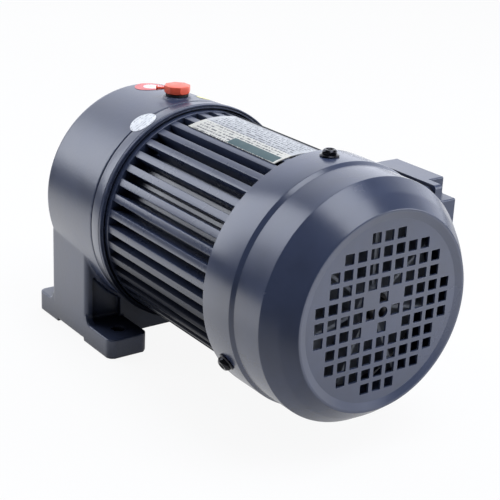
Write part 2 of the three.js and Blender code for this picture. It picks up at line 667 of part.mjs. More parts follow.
/** The cover's vents: a round field of square holes about one round hole. */
function ventHoles() {
  const x0 = COVER.face - COVER_WALL - 1;
  const x1 = COVER.face + 1;
  const half = VENT.width / 2;
  const tools = [rodX(x0, x1, VENT.centreRadius, 0, 0, SMALL)];
  for (let row = -5; row <= 5; row += 1) {
    const reach = VENT_ROWS[Math.abs(row)];
    for (let column = -reach; column <= reach; column += 1) {
      const isCentre = row === 0 && column === 0;
      const isBridge = Math.abs(row) === 1 && Math.abs(column) === 1;
      if (isCentre || isBridge) continue;
      const y = column * VENT.pitch;
      const z = row * VENT.pitch;
      tools.push(block([x0, y - half, z - half], [x1, y + half, z + half]));
    }
  }
  return tools;
}

function fanCover() {
  return cut(coverShell(), ...ventHoles(), ...coverScrewRods(2.6, 8));
}

/** A radial fan: hub, back plate and straight blades. */
function coolingFan() {
  const bladeCount = 7;
  const wheel = turned([
    [226, 8 + FIT], [226, 60], [228, 60], [229, 14], [247, 13], [247, 8 + FIT],
  ], MEDIUM);
  const blades = [];
  for (let index = 0; index < bladeCount; index += 1) {
    const blade = block([227.5, -1, 11], [245, 1, 59]);
    blades.push(blade.rotate([index * 360 / bladeCount, 0, 0]));
  }
  return union(wheel, ...blades);
}

place('cooling_fan', coolingFan(), 'fanPlastic');
place('fan_circlip', circlip(247.7, 248.7, 7.5, 10.4), 'steel');
place('fan_cover', fanCover(), 'enamel');
COVER_SCREW_ANGLES.forEach((angle, index) => {
  const spoke = new THREE.Group();
  spoke.rotation.x = THREE.MathUtils.degToRad(angle - 90);
  machine.add(spoke);
  const screw = place(`fan_cover_screw_${index + 1}`, flangeScrew(2, 11), 'blackOxide', spoke);
  screw.position.set(COVER_SCREW_X, 0, COVER_RADIUS.skirt + 0.1);
});

// ---------------------------------------------------------------- terminal box

/** Corner screw positions of the lid. */
const LID_SCREWS = [[-1, -1], [-1, 1], [1, -1], [1, 1]].map(([sx, sz]) => {
  return { x: BOX.x + sx * (LID.length / 2 - 7), z: sz * (LID.height / 2 - 6.5) };
});

/** A rounded rectangle in Z-X about the middle of the box. */
function boxOutline(length, height, radius) {
  return roundedRectangle(-height / 2, BOX.x - length / 2, height / 2, BOX.x + length / 2, radius);
}

/** A rod along Y. */
function rodY(y0, y1, radius, x, z, segments = SMALL) {
  const rod = new THREE.CylinderGeometry(radius, radius, y1 - y0, segments);
  return solid(rod.translate(x, (y0 + y1) / 2, z));
}

function terminalBox() {
  const { length, height, seat, seam, wall } = BOX;
  const outside = pushedY(boxOutline(length, height, 7), seat + 0.1, seam);
  const inside = pushedY(boxOutline(length - 2 * wall, height - 2 * wall, 4), seat + wall, seam + 1);
  const posts = LID_SCREWS.map(({ x, z }) => rodY(seat + wall - 1, seam, 5, x, z, 8));
  const kept = pushedY(boxOutline(length, height, 7), seat + 1, seam);
  const shell = union(cut(outside, inside), ...posts.map((post) => post.intersect(kept)));
  const threads = LID_SCREWS.map(({ x, z }) => rodY(seam - 12, seam + 1, 2.1, x, z));
  const wireHole = rodY(seat - 1, seat + wall + 1, 9, BOX.x, 0, 24);
  const entry = rodZ(-height / 2 - 1, -height / 2 + wall + 1, 8.2, BOX.x, 94, 16);
  return cut(shell, ...threads, wireHole, entry);
}

/** The lid's raised middle: a rectangle with its two screw corners at the fan end notched away. */
function raisedShape(inset) {
  const { length, height, notchX, notchZ, ledge } = LID;
  const front = -length / 2 + ledge + inset;
  const rear = length / 2 - inset;
  const notch = length / 2 - notchX - inset;
  const outerZ = height / 2 - inset;
  const innerZ = height / 2 - notchZ - inset;
  const upper = [[outerZ, front], [outerZ, notch], [innerZ, notch], [innerZ, rear]];
  const lower = upper.slice().reverse().map(([z, x]) => [-z, x]);
  return new THREE.Shape([...upper, ...lower].map(([z, x]) => new THREE.Vector2(z, BOX.x + x)));
}

function terminalBoxLid() {
  const { seam } = BOX;
  const { length, height, flange, top } = LID;
  const plate = pushedY(boxOutline(length, height, 3), seam + 0.9, flange);
  const raised = pushedY(raisedShape(0), flange - 1, top);
  const hollow = pushedY(raisedShape(3.5), seam, top - 3.5);
  const bosses = LID_SCREWS.slice(0, 2).map(({ x, z }) => rodY(seam + 0.9, top - 1, 5.7, x, z, MEDIUM));
  const counterbores = LID_SCREWS.slice(0, 2).map(({ x, z }) => rodY(flange, top + 1, 4.4, x, z, MEDIUM));
  const holes = LID_SCREWS.map(({ x, z }) => rodY(seam, top + 1, 2.4, x, z));
  return cut(union(cut(union(plate, raised), hollow), ...bosses), ...counterbores, ...holes);
}

function boxGasket() {
  const { length, height, seam } = BOX;
  const ring = pushedY(boxOutline(length, height, 7), seam + 0.1, seam + 0.8);
  const opening = pushedY(raisedShape(4.2), seam - 1, seam + 2);
  return cut(ring, opening, ...LID_SCREWS.map(({ x, z }) => rodY(seam - 1, seam + 2, 2.4, x, z)));
}

/** Terminal board: a base on two feet with six studs. */
function terminalBoard() {
  const low = BOX.seat + BOX.wall + 0.1;
  const board = block([BOX.x - 20, low + 6, 12], [BOX.x + 20, low + 10, 30]);
  const feet = [-15, 15].map((dx) => rodY(low, low + 7, 4, BOX.x + dx, 21));
  const studs = [];
  for (const dx of [-13, 0, 13]) {
    for (const z of [16.5, 25.5]) studs.push(rodY(low + 9, low + 19, 2, BOX.x + dx, z, 8));
  }
  return union(board, ...feet, ...studs);
}

/** Cable gland in the underside of the box. */
function cableGland() {
  const wallFace = -BOX.height / 2;
  const thread = rodZ(wallFace - 2, wallFace + 9, 8, 0, 0, 16);
  const hexagon = rodZ(wallFace - 6, wallFace - 0.1, 13, 0, 0, 6);
  const nut = rodZ(wallFace - 15, wallFace - 5, 11, 0, 0, 16);
  const bore = rodZ(wallFace - 16, wallFace + 10, 4.5, 0, 0, 16);
  return cut(union(thread, hexagon, nut), bore).translate([BOX.x, 94, 0]);
}

place('terminal_box', terminalBox(), 'enamel');
place('terminal_box_gasket', boxGasket(), 'rubber');
place('terminal_box_lid', terminalBoxLid(), 'enamel');
place('terminal_board', terminalBoard(), 'board');
place('cable_gland', cableGland(), 'blackOxide');
LID_SCREWS.forEach(({ x, z }, index) => {
  const screw = capScrew(2, 17).rotate([0, 0, 90]);
  place(`lid_screw_${index + 1}`, screw, 'blackOxide').position.set(x, LID.flange + 0.1, z);
});

// ---------------------------------------------------------------- nameplate

/** A thin plate rolled to the fin tips. */
function nameplate() {
  const inner = STATOR.finTip + 0.1;
  const outer = inner + 0.6;
  const from = Math.PI - THREE.MathUtils.degToRad(72.5);
  const to = Math.PI - THREE.MathUtils.degToRad(108.5);
  const shape = new THREE.Shape();
  shape.absarc(0, 0, outer, from, to, true);
  shape.lineTo(inner * Math.cos(to), inner * Math.sin(to));
  shape.absarc(0, 0, inner, to, from, false);
  return pushedX(shape, 73, 170.5);
}

place('nameplate', nameplate(), 'plate');

export default group;
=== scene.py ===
# Looks for the foot-mounted gearmotor. Smooth, finished pieces stand for the faceted CAD nodes,
# in the same frame: metres, +Z up, motor axis along X at AXIS_Z.

import math

import bmesh
import bpy
from mathutils import Matrix, Vector

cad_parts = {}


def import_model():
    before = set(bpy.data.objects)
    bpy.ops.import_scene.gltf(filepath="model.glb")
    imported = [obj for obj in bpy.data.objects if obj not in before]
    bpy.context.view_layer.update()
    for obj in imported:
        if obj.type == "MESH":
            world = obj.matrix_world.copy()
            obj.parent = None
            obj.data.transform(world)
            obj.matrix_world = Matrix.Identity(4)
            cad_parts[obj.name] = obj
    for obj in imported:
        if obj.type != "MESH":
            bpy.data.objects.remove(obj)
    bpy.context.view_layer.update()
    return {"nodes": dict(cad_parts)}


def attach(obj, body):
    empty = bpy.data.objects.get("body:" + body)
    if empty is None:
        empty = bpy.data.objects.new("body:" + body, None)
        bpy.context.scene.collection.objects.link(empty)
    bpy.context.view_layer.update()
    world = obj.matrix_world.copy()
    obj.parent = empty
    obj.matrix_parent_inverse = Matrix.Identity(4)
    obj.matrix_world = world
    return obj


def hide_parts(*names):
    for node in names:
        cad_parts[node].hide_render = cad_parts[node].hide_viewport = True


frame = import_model()

MM = 0.001
AXIS_Z = 99.0
FLOOR = -AXIS_Z
ROOT = "frame"

# Driving dimensions in millimetres, z and radii from the motor axis. Angles go over the top, from
# -Y for the motor's screws and the nameplate and from +Y for the cover's screws.
FOOT_HALF_LENGTH, FOOT_HALF_WIDTH, PAD_HEIGHT = 55.7, 73.0, 15.0
PEDESTAL_FRONT, PEDESTAL_REAR = -32.5, 20.0
FOOT_HOLE_X, FOOT_HOLE_Y, FOOT_HOLE_RADIUS = 38.7, 56.0, 4.7
BREATHER_X = 22.4
FIN_COUNT, FIN_PHASE = 42, 2.1
FRAME_SHELL, FIN_TIP = 65.0, 76.0
FIN_FRONT, FIN_REAR = 57.0, 183.0
FLANGE_SCREW_CIRCLE, FLANGE_SCREW_ANGLES = 69.4, (55, 145, 235, 325)
BOX_X, BOX_LENGTH, BOX_HEIGHT = 146.2, 60.0, 76.0
BOX_SEAT, BOX_RIM = 74.0, 111.0
LID_LENGTH, LID_HEIGHT = 64.6, 80.0
LID_BACK, LID_FLANGE, LID_TOP = 111.9, 118.0, 132.0
GLAND_Y = 94.0
COVER_SCREW_X, COVER_SCREW_ANGLES = 196.0, (90, -30, 210)
VENT_PITCH, VENT_WIDTH, VENT_ROWS = 9.85, 7.0, (5, 5, 4, 4, 3, 1)
FAN_BLADES = 7
PLATE_FRONT, PLATE_LENGTH, PLATE_ANGLE, PLATE_ARC = 73.0, 97.5, 72.5, 29

# ---------------------------------------------------------------- mesh helpers


def add_object(name, mesh):
    obj = bpy.data.objects.new(name, mesh)
    bpy.context.scene.collection.objects.link(obj)
    return obj


def from_faces(name, verts, faces):
    """A mesh object from points in millimetres about the motor axis (z = 0 on the axis)."""
    mesh = bpy.data.meshes.new(name)
    mesh.from_pydata([(x * MM, y * MM, (z + AXIS_Z) * MM) for x, y, z in verts], [], faces)
    mesh.validate()
    bm = bmesh.new()
    bm.from_mesh(mesh)
    bmesh.ops.remove_doubles(bm, verts=bm.verts, dist=1e-7)
    bmesh.ops.recalc_face_normals(bm, faces=bm.faces)
    bm.to_mesh(mesh)
    bm.free()
    return add_object(name, mesh)


def rounded(points, radius, steps=5, closed=True):
    """Rounds the corners of a polyline. A point may carry its own radius as a third value."""
    count = len(points)
    result = []
    for i, point in enumerate(points):
        own = point[2] if len(point) > 2 else radius
        here = Vector(point[:2])
        ends = not closed and i in (0, count - 1)
        if own <= 0 or ends:
            result.append(tuple(here))
            continue
        before = Vector(points[i - 1][:2]) - here
        after = Vector(points[(i + 1) % count][:2]) - here
        if before.length < 1e-6 or after.length < 1e-6:
            result.append(tuple(here))
            continue
        a, b = before.normalized(), after.normalized()
        half = math.acos(max(-1, min(1, a.dot(b)))) / 2
        if half > math.radians(88):
            result.append(tuple(here))
            continue
        reach = min(own / math.tan(half), before.length * 0.48, after.length * 0.48)
        true_radius = reach * math.tan(half)
        centre = here + (a + b).normalized() * (true_radius / math.sin(half))
        start, end = here + a * reach - centre, here + b * reach - centre
        angle = start.angle(end)
        for k in range(steps + 1):
            t = k / steps
            w0, w1 = math.sin((1 - t) * angle), math.sin(t * angle)
            result.append(tuple(centre + (start * w0 + end * w1) / math.sin(angle)))
    return result


def revolve(name, profile, segments, place):
    """Turns a closed (distance, radius) profile; place makes a point of distance, sine and cosine."""
    rings, verts = [], []
    for along, r in profile:
        if r < 1e-6:
            rings.append([len(verts)])
            verts.append(place(along, 0, 0))
            continue
        rings.append(list(range(len(verts), len(verts) + segments)))
        for k in range(segments):
            angle = 2 * math.pi * k / segments
            verts.append(place(along, r * math.sin(angle), r * math.cos(angle)))
    faces = []
    for ring, following in zip(rings, rings[1:] + rings[:1]):
        for k in range(segments):
            n = (k + 1) % segments
            if len(ring) == 1 and len(following) == 1:
                break
            if len(ring) == 1:
                faces.append((ring[0], following[n], following[k]))
            elif len(following) == 1:
                faces.append((ring[k], ring[n], following[0]))
            else:
                faces.append((ring[k], ring[n], following[n], following[k]))
    return from_faces(name, verts, faces)


def lathe(name, profile, segments=144):
    """Turns an (x, r) profile about the motor axis."""
    return revolve(name, profile, segments, lambda x, across, up: (x, across, up))


def lathe_z(name, profile, centre, segments=48):
    """Turns a (z, r) profile about a vertical axis through (x, y) = centre."""
    cx, cy = centre
    return revolve(name, profile, segments, lambda z, across, along: (cx + along, cy + across, z))


PLANES = {
    "X": lambda u, v, w: (w, u, v),
    "Y": lambda u, v, w: (u, w, v),
    "Z": lambda u, v, w: (u, v, w),
}


def prism(name, outline, axis, low, high):
    """Pushes a flat outline along an axis: (y, z) along X, (x, z) along Y, (x, y) along Z."""
    place = PLANES[axis]
    count = len(outline)
    verts = [place(u, v, low) for u, v in outline] + [place(u, v, high) for u, v in outline]
    faces = [tuple(range(count)), tuple(range(count, 2 * count))]
    faces += [(i, (i + 1) % count, (i + 1) % count + count, i + count) for i in range(count)]
    return from_faces(name, verts, faces)


def rectangle(u0, v0, u1, v1, radius=0.0, steps=6):
    corners = [(u0, v0), (u1, v0), (u1, v1), (u0, v1)]
    return rounded(corners, radius, steps) if radius else corners


def circle(radius, centre=(0, 0), count=48, phase=0.0):
    angles = [phase + 2 * math.pi * k / count for k in range(count)]
    return [(centre[0] + radius * math.cos(a), centre[1] + radius * math.sin(a)) for a in angles]


def rod(name, axis, low, high, radius, centre=(0, 0), count=48):
    return prism(name, circle(radius, centre, count), axis, low, high)


def brick(name, low, high):
    return prism(name, rectangle(low[0], low[1], high[0], high[1]), "Z", low[2], high[2])


def bake(obj):
    """Applies every modifier."""
    graph = bpy.context.evaluated_depsgraph_get()
    mesh = bpy.data.meshes.new_from_object(obj.evaluated_get(graph))
    obj.modifiers.clear()
    obj.data = mesh
    return obj


def combine(name, objects):
    """Joins meshes into one object without a boolean."""
    bm = bmesh.new()
    for obj in objects:
        bm.from_mesh(obj.data)
        bpy.data.objects.remove(obj)
    mesh = bpy.data.meshes.new(name)
    bm.to_mesh(mesh)
    bm.free()
    return add_object(name, mesh)


def boolean(obj, others, operation):
    """Boolean with a list of objects, which are used up."""
    for other in others:
        modifier = obj.modifiers.new("boolean", "BOOLEAN")
        modifier.operation = operation
        modifier.solver = "EXACT"
        modifier.object = other
        bake(obj)
        bpy.data.objects.remove(other)
    return obj


def cut(obj, *tools):
    return boolean(obj, tools, "DIFFERENCE")


def fuse(obj, *others):
    return boolean(obj, others, "UNION")


def bevel(obj, width, segments=3, angle=35):
    modifier = obj.modifiers.new("bevel", "BEVEL")
    modifier.width = width * MM
    modifier.segments = segments
    modifier.limit_method = "ANGLE"
    modifier.angle_limit = math.radians(angle)
    modifier.miter_outer = "MITER_ARC"
    return bake(obj)


def cast(obj, voxel, passes):
    """Melts a rough solid into a casting: even skin, filleted corners."""
    remesh = obj.modifiers.new("skin", "REMESH")
    remesh.mode = "VOXEL"
    remesh.voxel_size = voxel * MM
    soften = obj.modifiers.new("soften", "SMOOTH")
    soften.factor = 0.5
    soften.iterations = passes
    return bake(obj)


def shade(obj, angle=32):
    obj.data.polygons.foreach_set("use_smooth", [True] * len(obj.data.polygons))
    if angle:
        obj.data.set_sharp_from_angle(angle=math.radians(angle))
    obj.data.update()
    return obj


def polar(radius, degrees):
    """(y, z) at a radius and an angle: 0 degrees is -Y and 90 degrees is +Z."""
    angle = math.radians(degrees)
    return -radius * math.cos(angle), radius * math.sin(angle)


def turn_about_axis(obj, degrees):
    """Turns a mesh about the motor axis, from +Z towards +Y."""
    pivot = Matrix.Translation((0, 0, AXIS_Z * MM))
    obj.data.transform(pivot @ Matrix.Rotation(math.radians(-degrees), 4, "X") @ pivot.inverted())
    return obj


# ---------------------------------------------------------------- materials


class Nodes:
    """Small helper that builds one procedural material."""

    def __init__(self, name):
        self.material = bpy.data.materials.new(name)
        self.material.use_nodes = True
        self.tree = self.material.node_tree
        self.tree.nodes.clear()
        self.out = self.tree.nodes.new("ShaderNodeOutputMaterial")
        self.shader = self.tree.nodes.new("ShaderNodeBsdfPrincipled")
        self.link(self.shader.outputs[0], self.out.inputs[0])
        self.coords = self.tree.nodes.new("ShaderNodeTexCoord").outputs["Object"]

    def link(self, source, target):
        self.tree.links.new(source, target)

    def feed(self, socket, value):
        """Links a socket or sets a constant."""
        if isinstance(value, bpy.types.NodeSocket):
            self.link(value, socket)
        else:
            socket.default_value = value

    def set(self, **values):
        for key, value in values.items():
            self.feed(self.shader.inputs[key.replace("_", " ").title().replace("Ior", "IOR")], value)

    def stretched(self, scale):
        mapping = self.tree.nodes.new("ShaderNodeMapping")
        self.link(self.coords, mapping.inputs["Vector"])
        mapping.inputs["Scale"].default_value = scale
        return mapping.outputs["Vector"]

    def noise(self, scale, detail=3.0, roughness=0.55, vector=None):
        node = self.tree.nodes.new("ShaderNodeTexNoise")
        self.link(vector or self.coords, node.inputs["Vector"])
        node.inputs["Scale"].default_value = scale
        node.inputs["Detail"].default_value = detail
        node.inputs["Roughness"].default_value = roughness
        return node.outputs["Fac"]

    def cells(self, scale, vector=None):
        node = self.tree.nodes.new("ShaderNodeTexVoronoi")
        self.link(vector or self.coords, node.inputs["Vector"])
        node.inputs["Scale"].default_value = scale
        return node.outputs["Distance"]

    def axis(self, name):
        node = self.tree.nodes.new("ShaderNodeSeparateXYZ")
        self.link(self.coords, node.inputs[0])
        return node.outputs[name]

    def math(self, operation, a, b=0.0, c=0.0):
        node = self.tree.nodes.new("ShaderNodeMath")
        node.operation = operation
        for socket, value in zip(node.inputs, (a, b, c)):
            self.feed(socket, value)
        return node.outputs[0]

    def ramp(self, value, low, high, out_low=0.0, out_high=1.0):
        node = self.tree.nodes.new("ShaderNodeMapRange")
        self.feed(node.inputs["Value"], value)
        for key, number in (("From Min", low), ("From Max", high), ("To Min", out_low), ("To Max", out_high)):
            node.inputs[key].default_value = number
        return node.outputs[0]

    def mix(self, factor, a, b):
        node = self.tree.nodes.new("ShaderNodeMix")
        node.data_type = "RGBA"
        self.feed(node.inputs[0], factor)
        self.feed(node.inputs[6], a if isinstance(a, bpy.types.NodeSocket) else (*a, 1.0))
        self.feed(node.inputs[7], b if isinstance(b, bpy.types.NodeSocket) else (*b, 1.0))
        return node.outputs[2]

    def bump(self, height, distance, strength=1.0, normal=None):
        node = self.tree.nodes.new("ShaderNodeBump")
        node.inputs["Distance"].default_value = distance
        node.inputs["Strength"].default_value = strength
        self.link(height, node.inputs["Height"])
        if normal is not None:
            self.link(normal, node.inputs["Normal"])
        self.link(node.outputs[0], self.shader.inputs["Normal"])
        return node.outputs[0]

    def occlusion(self, distance):
        node = self.tree.nodes.new("ShaderNodeAmbientOcclusion")
        node.samples = 4
        node.inputs["Distance"].default_value = distance
        return node.outputs["AO"]

    def edges(self, radius):
        """0 on flat skin, rising on sharp edges."""
        node = self.tree.nodes.new("ShaderNodeBevel")
        node.samples = 3
        node.inputs["Radius"].default_value = radius
        geometry = self.tree.nodes.new("ShaderNodeNewGeometry")
        dot = self.tree.nodes.new("ShaderNodeVectorMath")
        dot.operation = "DOT_PRODUCT"
        self.link(node.outputs[0], dot.inputs[0])
        self.link(geometry.outputs["Normal"], dot.inputs[1])
        return self.math("SUBTRACT", 1.0, dot.outputs["Value"])


def srgb(red, green, blue):
    """Linear colour from 0-255 display values."""
    def channel(value):
        value /= 255
        return value / 12.92 if value <= 0.04045 else ((value + 0.055) / 1.055) ** 2.4
    return tuple(channel(v) for v in (red, green, blue))


ENAMEL = (52, 60, 82)


def enamel(name, grain, bump_depth, gloss, shadow=0.0, recess_shine=0.5, film=()):
    """Satin stove enamel, fine-grained on sheet and coarser on castings.

    Film lists bands of painted shade, which darken it and take its shine: axis, middle, and the
    distances from the middle where the shade is full and where it ends.
    """
    n = Nodes(name)
    light, dark = srgb(*[c * 1.05 for c in ENAMEL]), srgb(*[c * 0.93 for c in ENAMEL])
    cloud = n.noise(28, 4)
    base = n.mix(n.ramp(cloud, 0.35, 0.7), dark, light)
    # Paler edges: partly paint rubbed off, partly a painted highlight along the edges.
    edge_wear_and_highlight = n.ramp(n.edges(0.0007), 0.03, 0.22, 0.0, 0.42)
    worn = n.mix(n.math("MULTIPLY", edge_wear_and_highlight, n.ramp(n.noise(260), 0.4, 0.65)), base, srgb(150, 156, 168))
    specks = n.ramp(n.cells(900), 0.0, 0.12, 0.35, 0.0)
    dust_and_painted_shade = n.mix(n.math("MULTIPLY", specks, n.ramp(n.noise(60), 0.55, 0.75)), worn, srgb(110, 115, 125))
    shine = 0.5
    # Painted shade: where the ambient occlusion finds a recess, the colour turns near black and the shine
    # drops to recess_shine.
    if shadow:
        open_air = n.occlusion(shadow)
        dust_and_painted_shade = n.mix(n.ramp(open_air, 0.1, 0.75), srgb(12, 13, 17), dust_and_painted_shade)
        shine = n.ramp(open_air, 0.15, 0.85, recess_shine, 0.5)
    # Painted shade: each band darkens the colour and takes the shine away.
    for axis, centre, inner, outer in film:
        away = n.math("ABSOLUTE", n.math("SUBTRACT", n.axis(axis), centre))
        unshaded = n.ramp(away, inner, outer, 0.02, 1.0)
        shine = n.math("MULTIPLY", shine, unshaded)
        dust_and_painted_shade = n.mix(unshaded, srgb(26, 29, 38), dust_and_painted_shade)
    smudge = n.ramp(n.noise(14, 5, 0.65), 0.3, 0.75, gloss - 0.04, gloss + 0.06)
    n.set(base_color=dust_and_painted_shade, roughness=smudge, metallic=0.0, specular_ior_level=shine)
    peel = n.bump(n.noise(grain, 2), bump_depth)
    n.bump(n.noise(grain * 5, 2), bump_depth * 0.35, 1.0, peel)
    return n.material


def metal(name, color, roughness, turned=False, dark=(40, 42, 46), depth=0.00002):
    """Machined or oxidised metal with fine tool marks. Turned marks run round the X axis."""
    n = Nodes(name)
    vector = n.stretched((9.0, 0.4, 0.4) if turned else (1.0, 1.0, 1.0))
    marks = n.noise(220 if turned else 420, 4, 0.6, vector)
    stain = n.noise(45, 4)
    base = n.mix(n.ramp(stain, 0.45, 0.8, 0.0, 0.35), srgb(*color), srgb(*dark))
    n.set(base_color=base, metallic=0.95,
          roughness=n.ramp(marks, 0.3, 0.7, roughness - 0.06, roughness + 0.1))
    n.bump(marks, depth)
    return n.material


def moulded(name, color, roughness, grain=500, depth=0.00003, sheen_wear=0.12):
    """Moulded plastic or rubber: faint texture, uneven gloss, paler worn edges."""
    n = Nodes(name)
    shade_low = srgb(*[c * 0.9 for c in color])
    base = n.mix(n.ramp(n.noise(90, 4), 0.35, 0.7), shade_low, srgb(*color))
    worn = n.mix(n.ramp(n.edges(0.0004), 0.03, 0.2, 0.0, sheen_wear), base,
                 srgb(*[min(255, c + 70) for c in color]))
    n.set(base_color=worn, roughness=n.ramp(n.noise(70, 3), 0.3, 0.7, roughness - 0.05, roughness + 0.08))
    n.bump(n.noise(grain, 3), depth)
    return n.material


def laminated():
    """Edges of stacked electrical sheets."""
    n = Nodes("lamination_stack")
    sheets = n.math("SINE", n.math("MULTIPLY", n.axis("X"), 2 * math.pi / 0.001))
    base = n.mix(n.ramp(sheets, -1, 1), srgb(88, 90, 94), srgb(140, 142, 146))
    n.set(base_color=base, metallic=0.8, roughness=n.ramp(n.noise(200), 0.3, 0.7, 0.4, 0.6))
    n.bump(sheets, 0.00008)
    return n.material


def wound():
    """Varnished copper wire laid round the coil ends."""
    n = Nodes("copper_winding")
    wires = n.cells(900, n.stretched((1.6, 0.5, 0.5)))
    base = n.mix(n.ramp(wires, 0.1, 0.6), srgb(178, 100, 52), srgb(92, 46, 22))
    n.set(base_color=base, metallic=0.7, roughness=n.ramp(n.noise(150), 0.3, 0.7, 0.28, 0.45))
    n.bump(wires, 0.0003)
    return n.material


SHEET = enamel("enamel_sheet", 700, 0.00002, 0.235)
# Castings: painted shade in recesses, with an occlusion reach of 45 mm, and almost no shine left there.
CASTING = enamel("enamel_casting", 420, 0.00005, 0.32, 0.045, 0.08)
# Adapter flange: light painted shade in recesses, and painted shade that is full below 58 mm height and gone
# by 78 mm.
FLANGE_PAINT = enamel("enamel_flange", 420, 0.00005, 0.3, 0.015, 0.3, [("Z", 0.0, 0.058, 0.078)])
# Stator frame: slight painted shade in recesses, painted shade on the lower fins that is full below 76 mm
# height and gone by 102 mm, and a painted shadow line on the fins around y = 31 mm, just past the nameplate's
# far edge.
FRAME_PAINT = enamel("enamel_frame", 520, 0.00004, 0.28, 0.006, 0.5,
                     [("Z", 0.0, 0.076, 0.102), ("Y", 0.031, 0.010, 0.016)])
GLOSS_BLACK = metal("gloss_black_zinc", (40, 40, 44), 0.18, dark=(14, 14, 16))
# Painted shade: steel kept near black for the rotor shaft and the fan circlip, which sit in shade behind the
# cover's vents.
SHADE_DARKENED_STEEL = metal("shade_darkened_steel", (44, 44, 46), 0.35, dark=(20, 20, 21))
BLACK_OXIDE = metal("black_oxide", (30, 31, 34), 0.36, dark=(16, 16, 18))
STEEL = metal("ground_steel", (170, 172, 176), 0.3, turned=True, dark=(110, 110, 112))
SHAFT_STEEL = metal("turned_shaft_steel", (186, 188, 190), 0.24, turned=True, dark=(130, 128, 124))
LAMINATION = laminated()
COPPER = wound()
RUBBER = moulded("black_rubber", (22, 22, 24), 0.7, 700, 0.00004)
PLUG_PLASTIC = moulded("orange_plastic", (240, 92, 62), 0.42, 300, 0.00002, 0.2)
FAN_PLASTIC = moulded("fan_plastic", (112, 116, 124), 0.45)
GLAND_PLASTIC = moulded("gland_plastic", (26, 27, 30), 0.5)
BOARD = moulded("phenolic_board", (96, 64, 38), 0.55)
GASKET = moulded("gasket_sheet", (26, 27, 31), 0.85, 600, 0.00006)


def dress(obj, material):
    obj.data.materials.clear()
    obj.data.materials.append(material)
    return obj


def flatten_faces(obj):
    """Leans the normals at each bevel towards the larger face, so that flat faces look flat."""
    modifier = obj.modifiers.new("weights", "WEIGHTED_NORMAL")
    modifier.weight = 100
    modifier.keep_sharp = True
    return bake(obj)


def finish_piece(obj, material, slot, body, *nodes, angle=32, flat=False):
    """Shades, paints and mounts a finished piece in place of its CAD nodes."""
    shade(obj, angle)
    if flat:
        flatten_faces(obj)
    dress(obj, material)
    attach(obj, body)
    if nodes:
        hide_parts(*nodes)
    return obj


# ---------------------------------------------------------------- gear housing and foot


def root_fillet(face, outward, y0, y1, top, radius):
    """Concave fillet between the pedestal's face and the top of a pad."""
    angles = [math.radians(90 * k / 8) for k in range(9)]
    arc = [(face + outward * radius * (1 - math.cos(a)), top + radius * (1 - math.sin(a))) for a in angles]
    back = face - outward * 2
    outline = [(back, top - 2), (back, top + radius), *arc, (face + outward * radius, top - 2)]
    return prism("fillet", outline, "Y", y0, y1)


def gear_housing():
    barrel = lathe("barrel", rounded([
        (-56, 31, 0.4), (-56, 38, 1.6), (-33.5, 39.5, 4), (-33.5, 77.2, 5.0), (39.3, 79.6, 0.4),
        (39.3, 70, 0.3), (-20, 70, 3), (-20, 33, 2), (-14, 33, 0.5), (-14, 26, 0.5), (-30, 26, 0),
        (-30, 24, 0), (-32, 24, 0), (-32, 31, 0),
    ], 0.5), 176)
    seat = rod("seat", "Z", 70, 80.2, 10, (BREATHER_X, 0))
    front, rear = PEDESTAL_FRONT, PEDESTAL_REAR
    pad_top = FLOOR + PAD_HEIGHT
    foot = prism("pedestal", rectangle(front, -FOOT_HALF_WIDTH, rear, FOOT_HALF_WIDTH, 3.0), "Z", FLOOR, -26)
    for face, inward in ((rear, -1), (front, 1)):
        for y0, y1 in ((44, 67), (-67, -44)):
            low, high = sorted((face - inward * 2, face + inward * 4.5))
            panel = prism("panel", rectangle(y0, pad_top, y1, -10, 2.0), "X", low, high)
            cut(panel, rod("arch", "X", low - 1, high + 1, 81.8, (0, 0), 128))
            cut(foot, panel)
    for sx in (-1, 1):
        for sy in (-1, 1):
            x0, x1 = sorted((sx * FOOT_HALF_LENGTH, rear - 10 if sx > 0 else front + 10))
            y0, y1 = sorted((sy * FOOT_HALF_WIDTH, sy * 41))
            fuse(foot, prism("pad", rectangle(x0, y0, x1, y1, 6.0), "Z", FLOOR, pad_top))
            y2, y3 = sorted((sy * 67.2, sy * 72.9))
            fuse(foot, root_fillet(rear if sx > 0 else front, sx, y2, y3, pad_top, 6.0))
    for sy in (-1, 1):
        y0, y1 = sorted((sy * 24, sy * 62))
        pocket = prism("pocket", rectangle(-20, y0, 10, y1, 4.0), "Z", FLOOR - 1, FLOOR + 30)
        y2, y3 = sorted((sy * 20, sy * 75))
        cut(foot, pocket, brick("relief", (-23.5, y2, FLOOR - 1), (16.5, y3, FLOOR + 2.3)))
    cut(foot, rod("core", "X", -40, 60, 74, (0, 0), 128))
    fuse(barrel, foot)
    fuse(barrel, seat)
    for sx in (-1, 1):
        for sy in (-1, 1):
            place = (sx * FOOT_HOLE_X, sy * FOOT_HOLE_Y)
            cut(barrel, rod("bolt_hole", "Z", FLOOR - 1, pad_top + 1, FOOT_HOLE_RADIUS, place))
    barrel.name = "gear_housing_casting"
    cast(barrel, 0.8, 3)
    return finish_piece(barrel, CASTING, "enamel", ROOT, "gear_housing", angle=0)


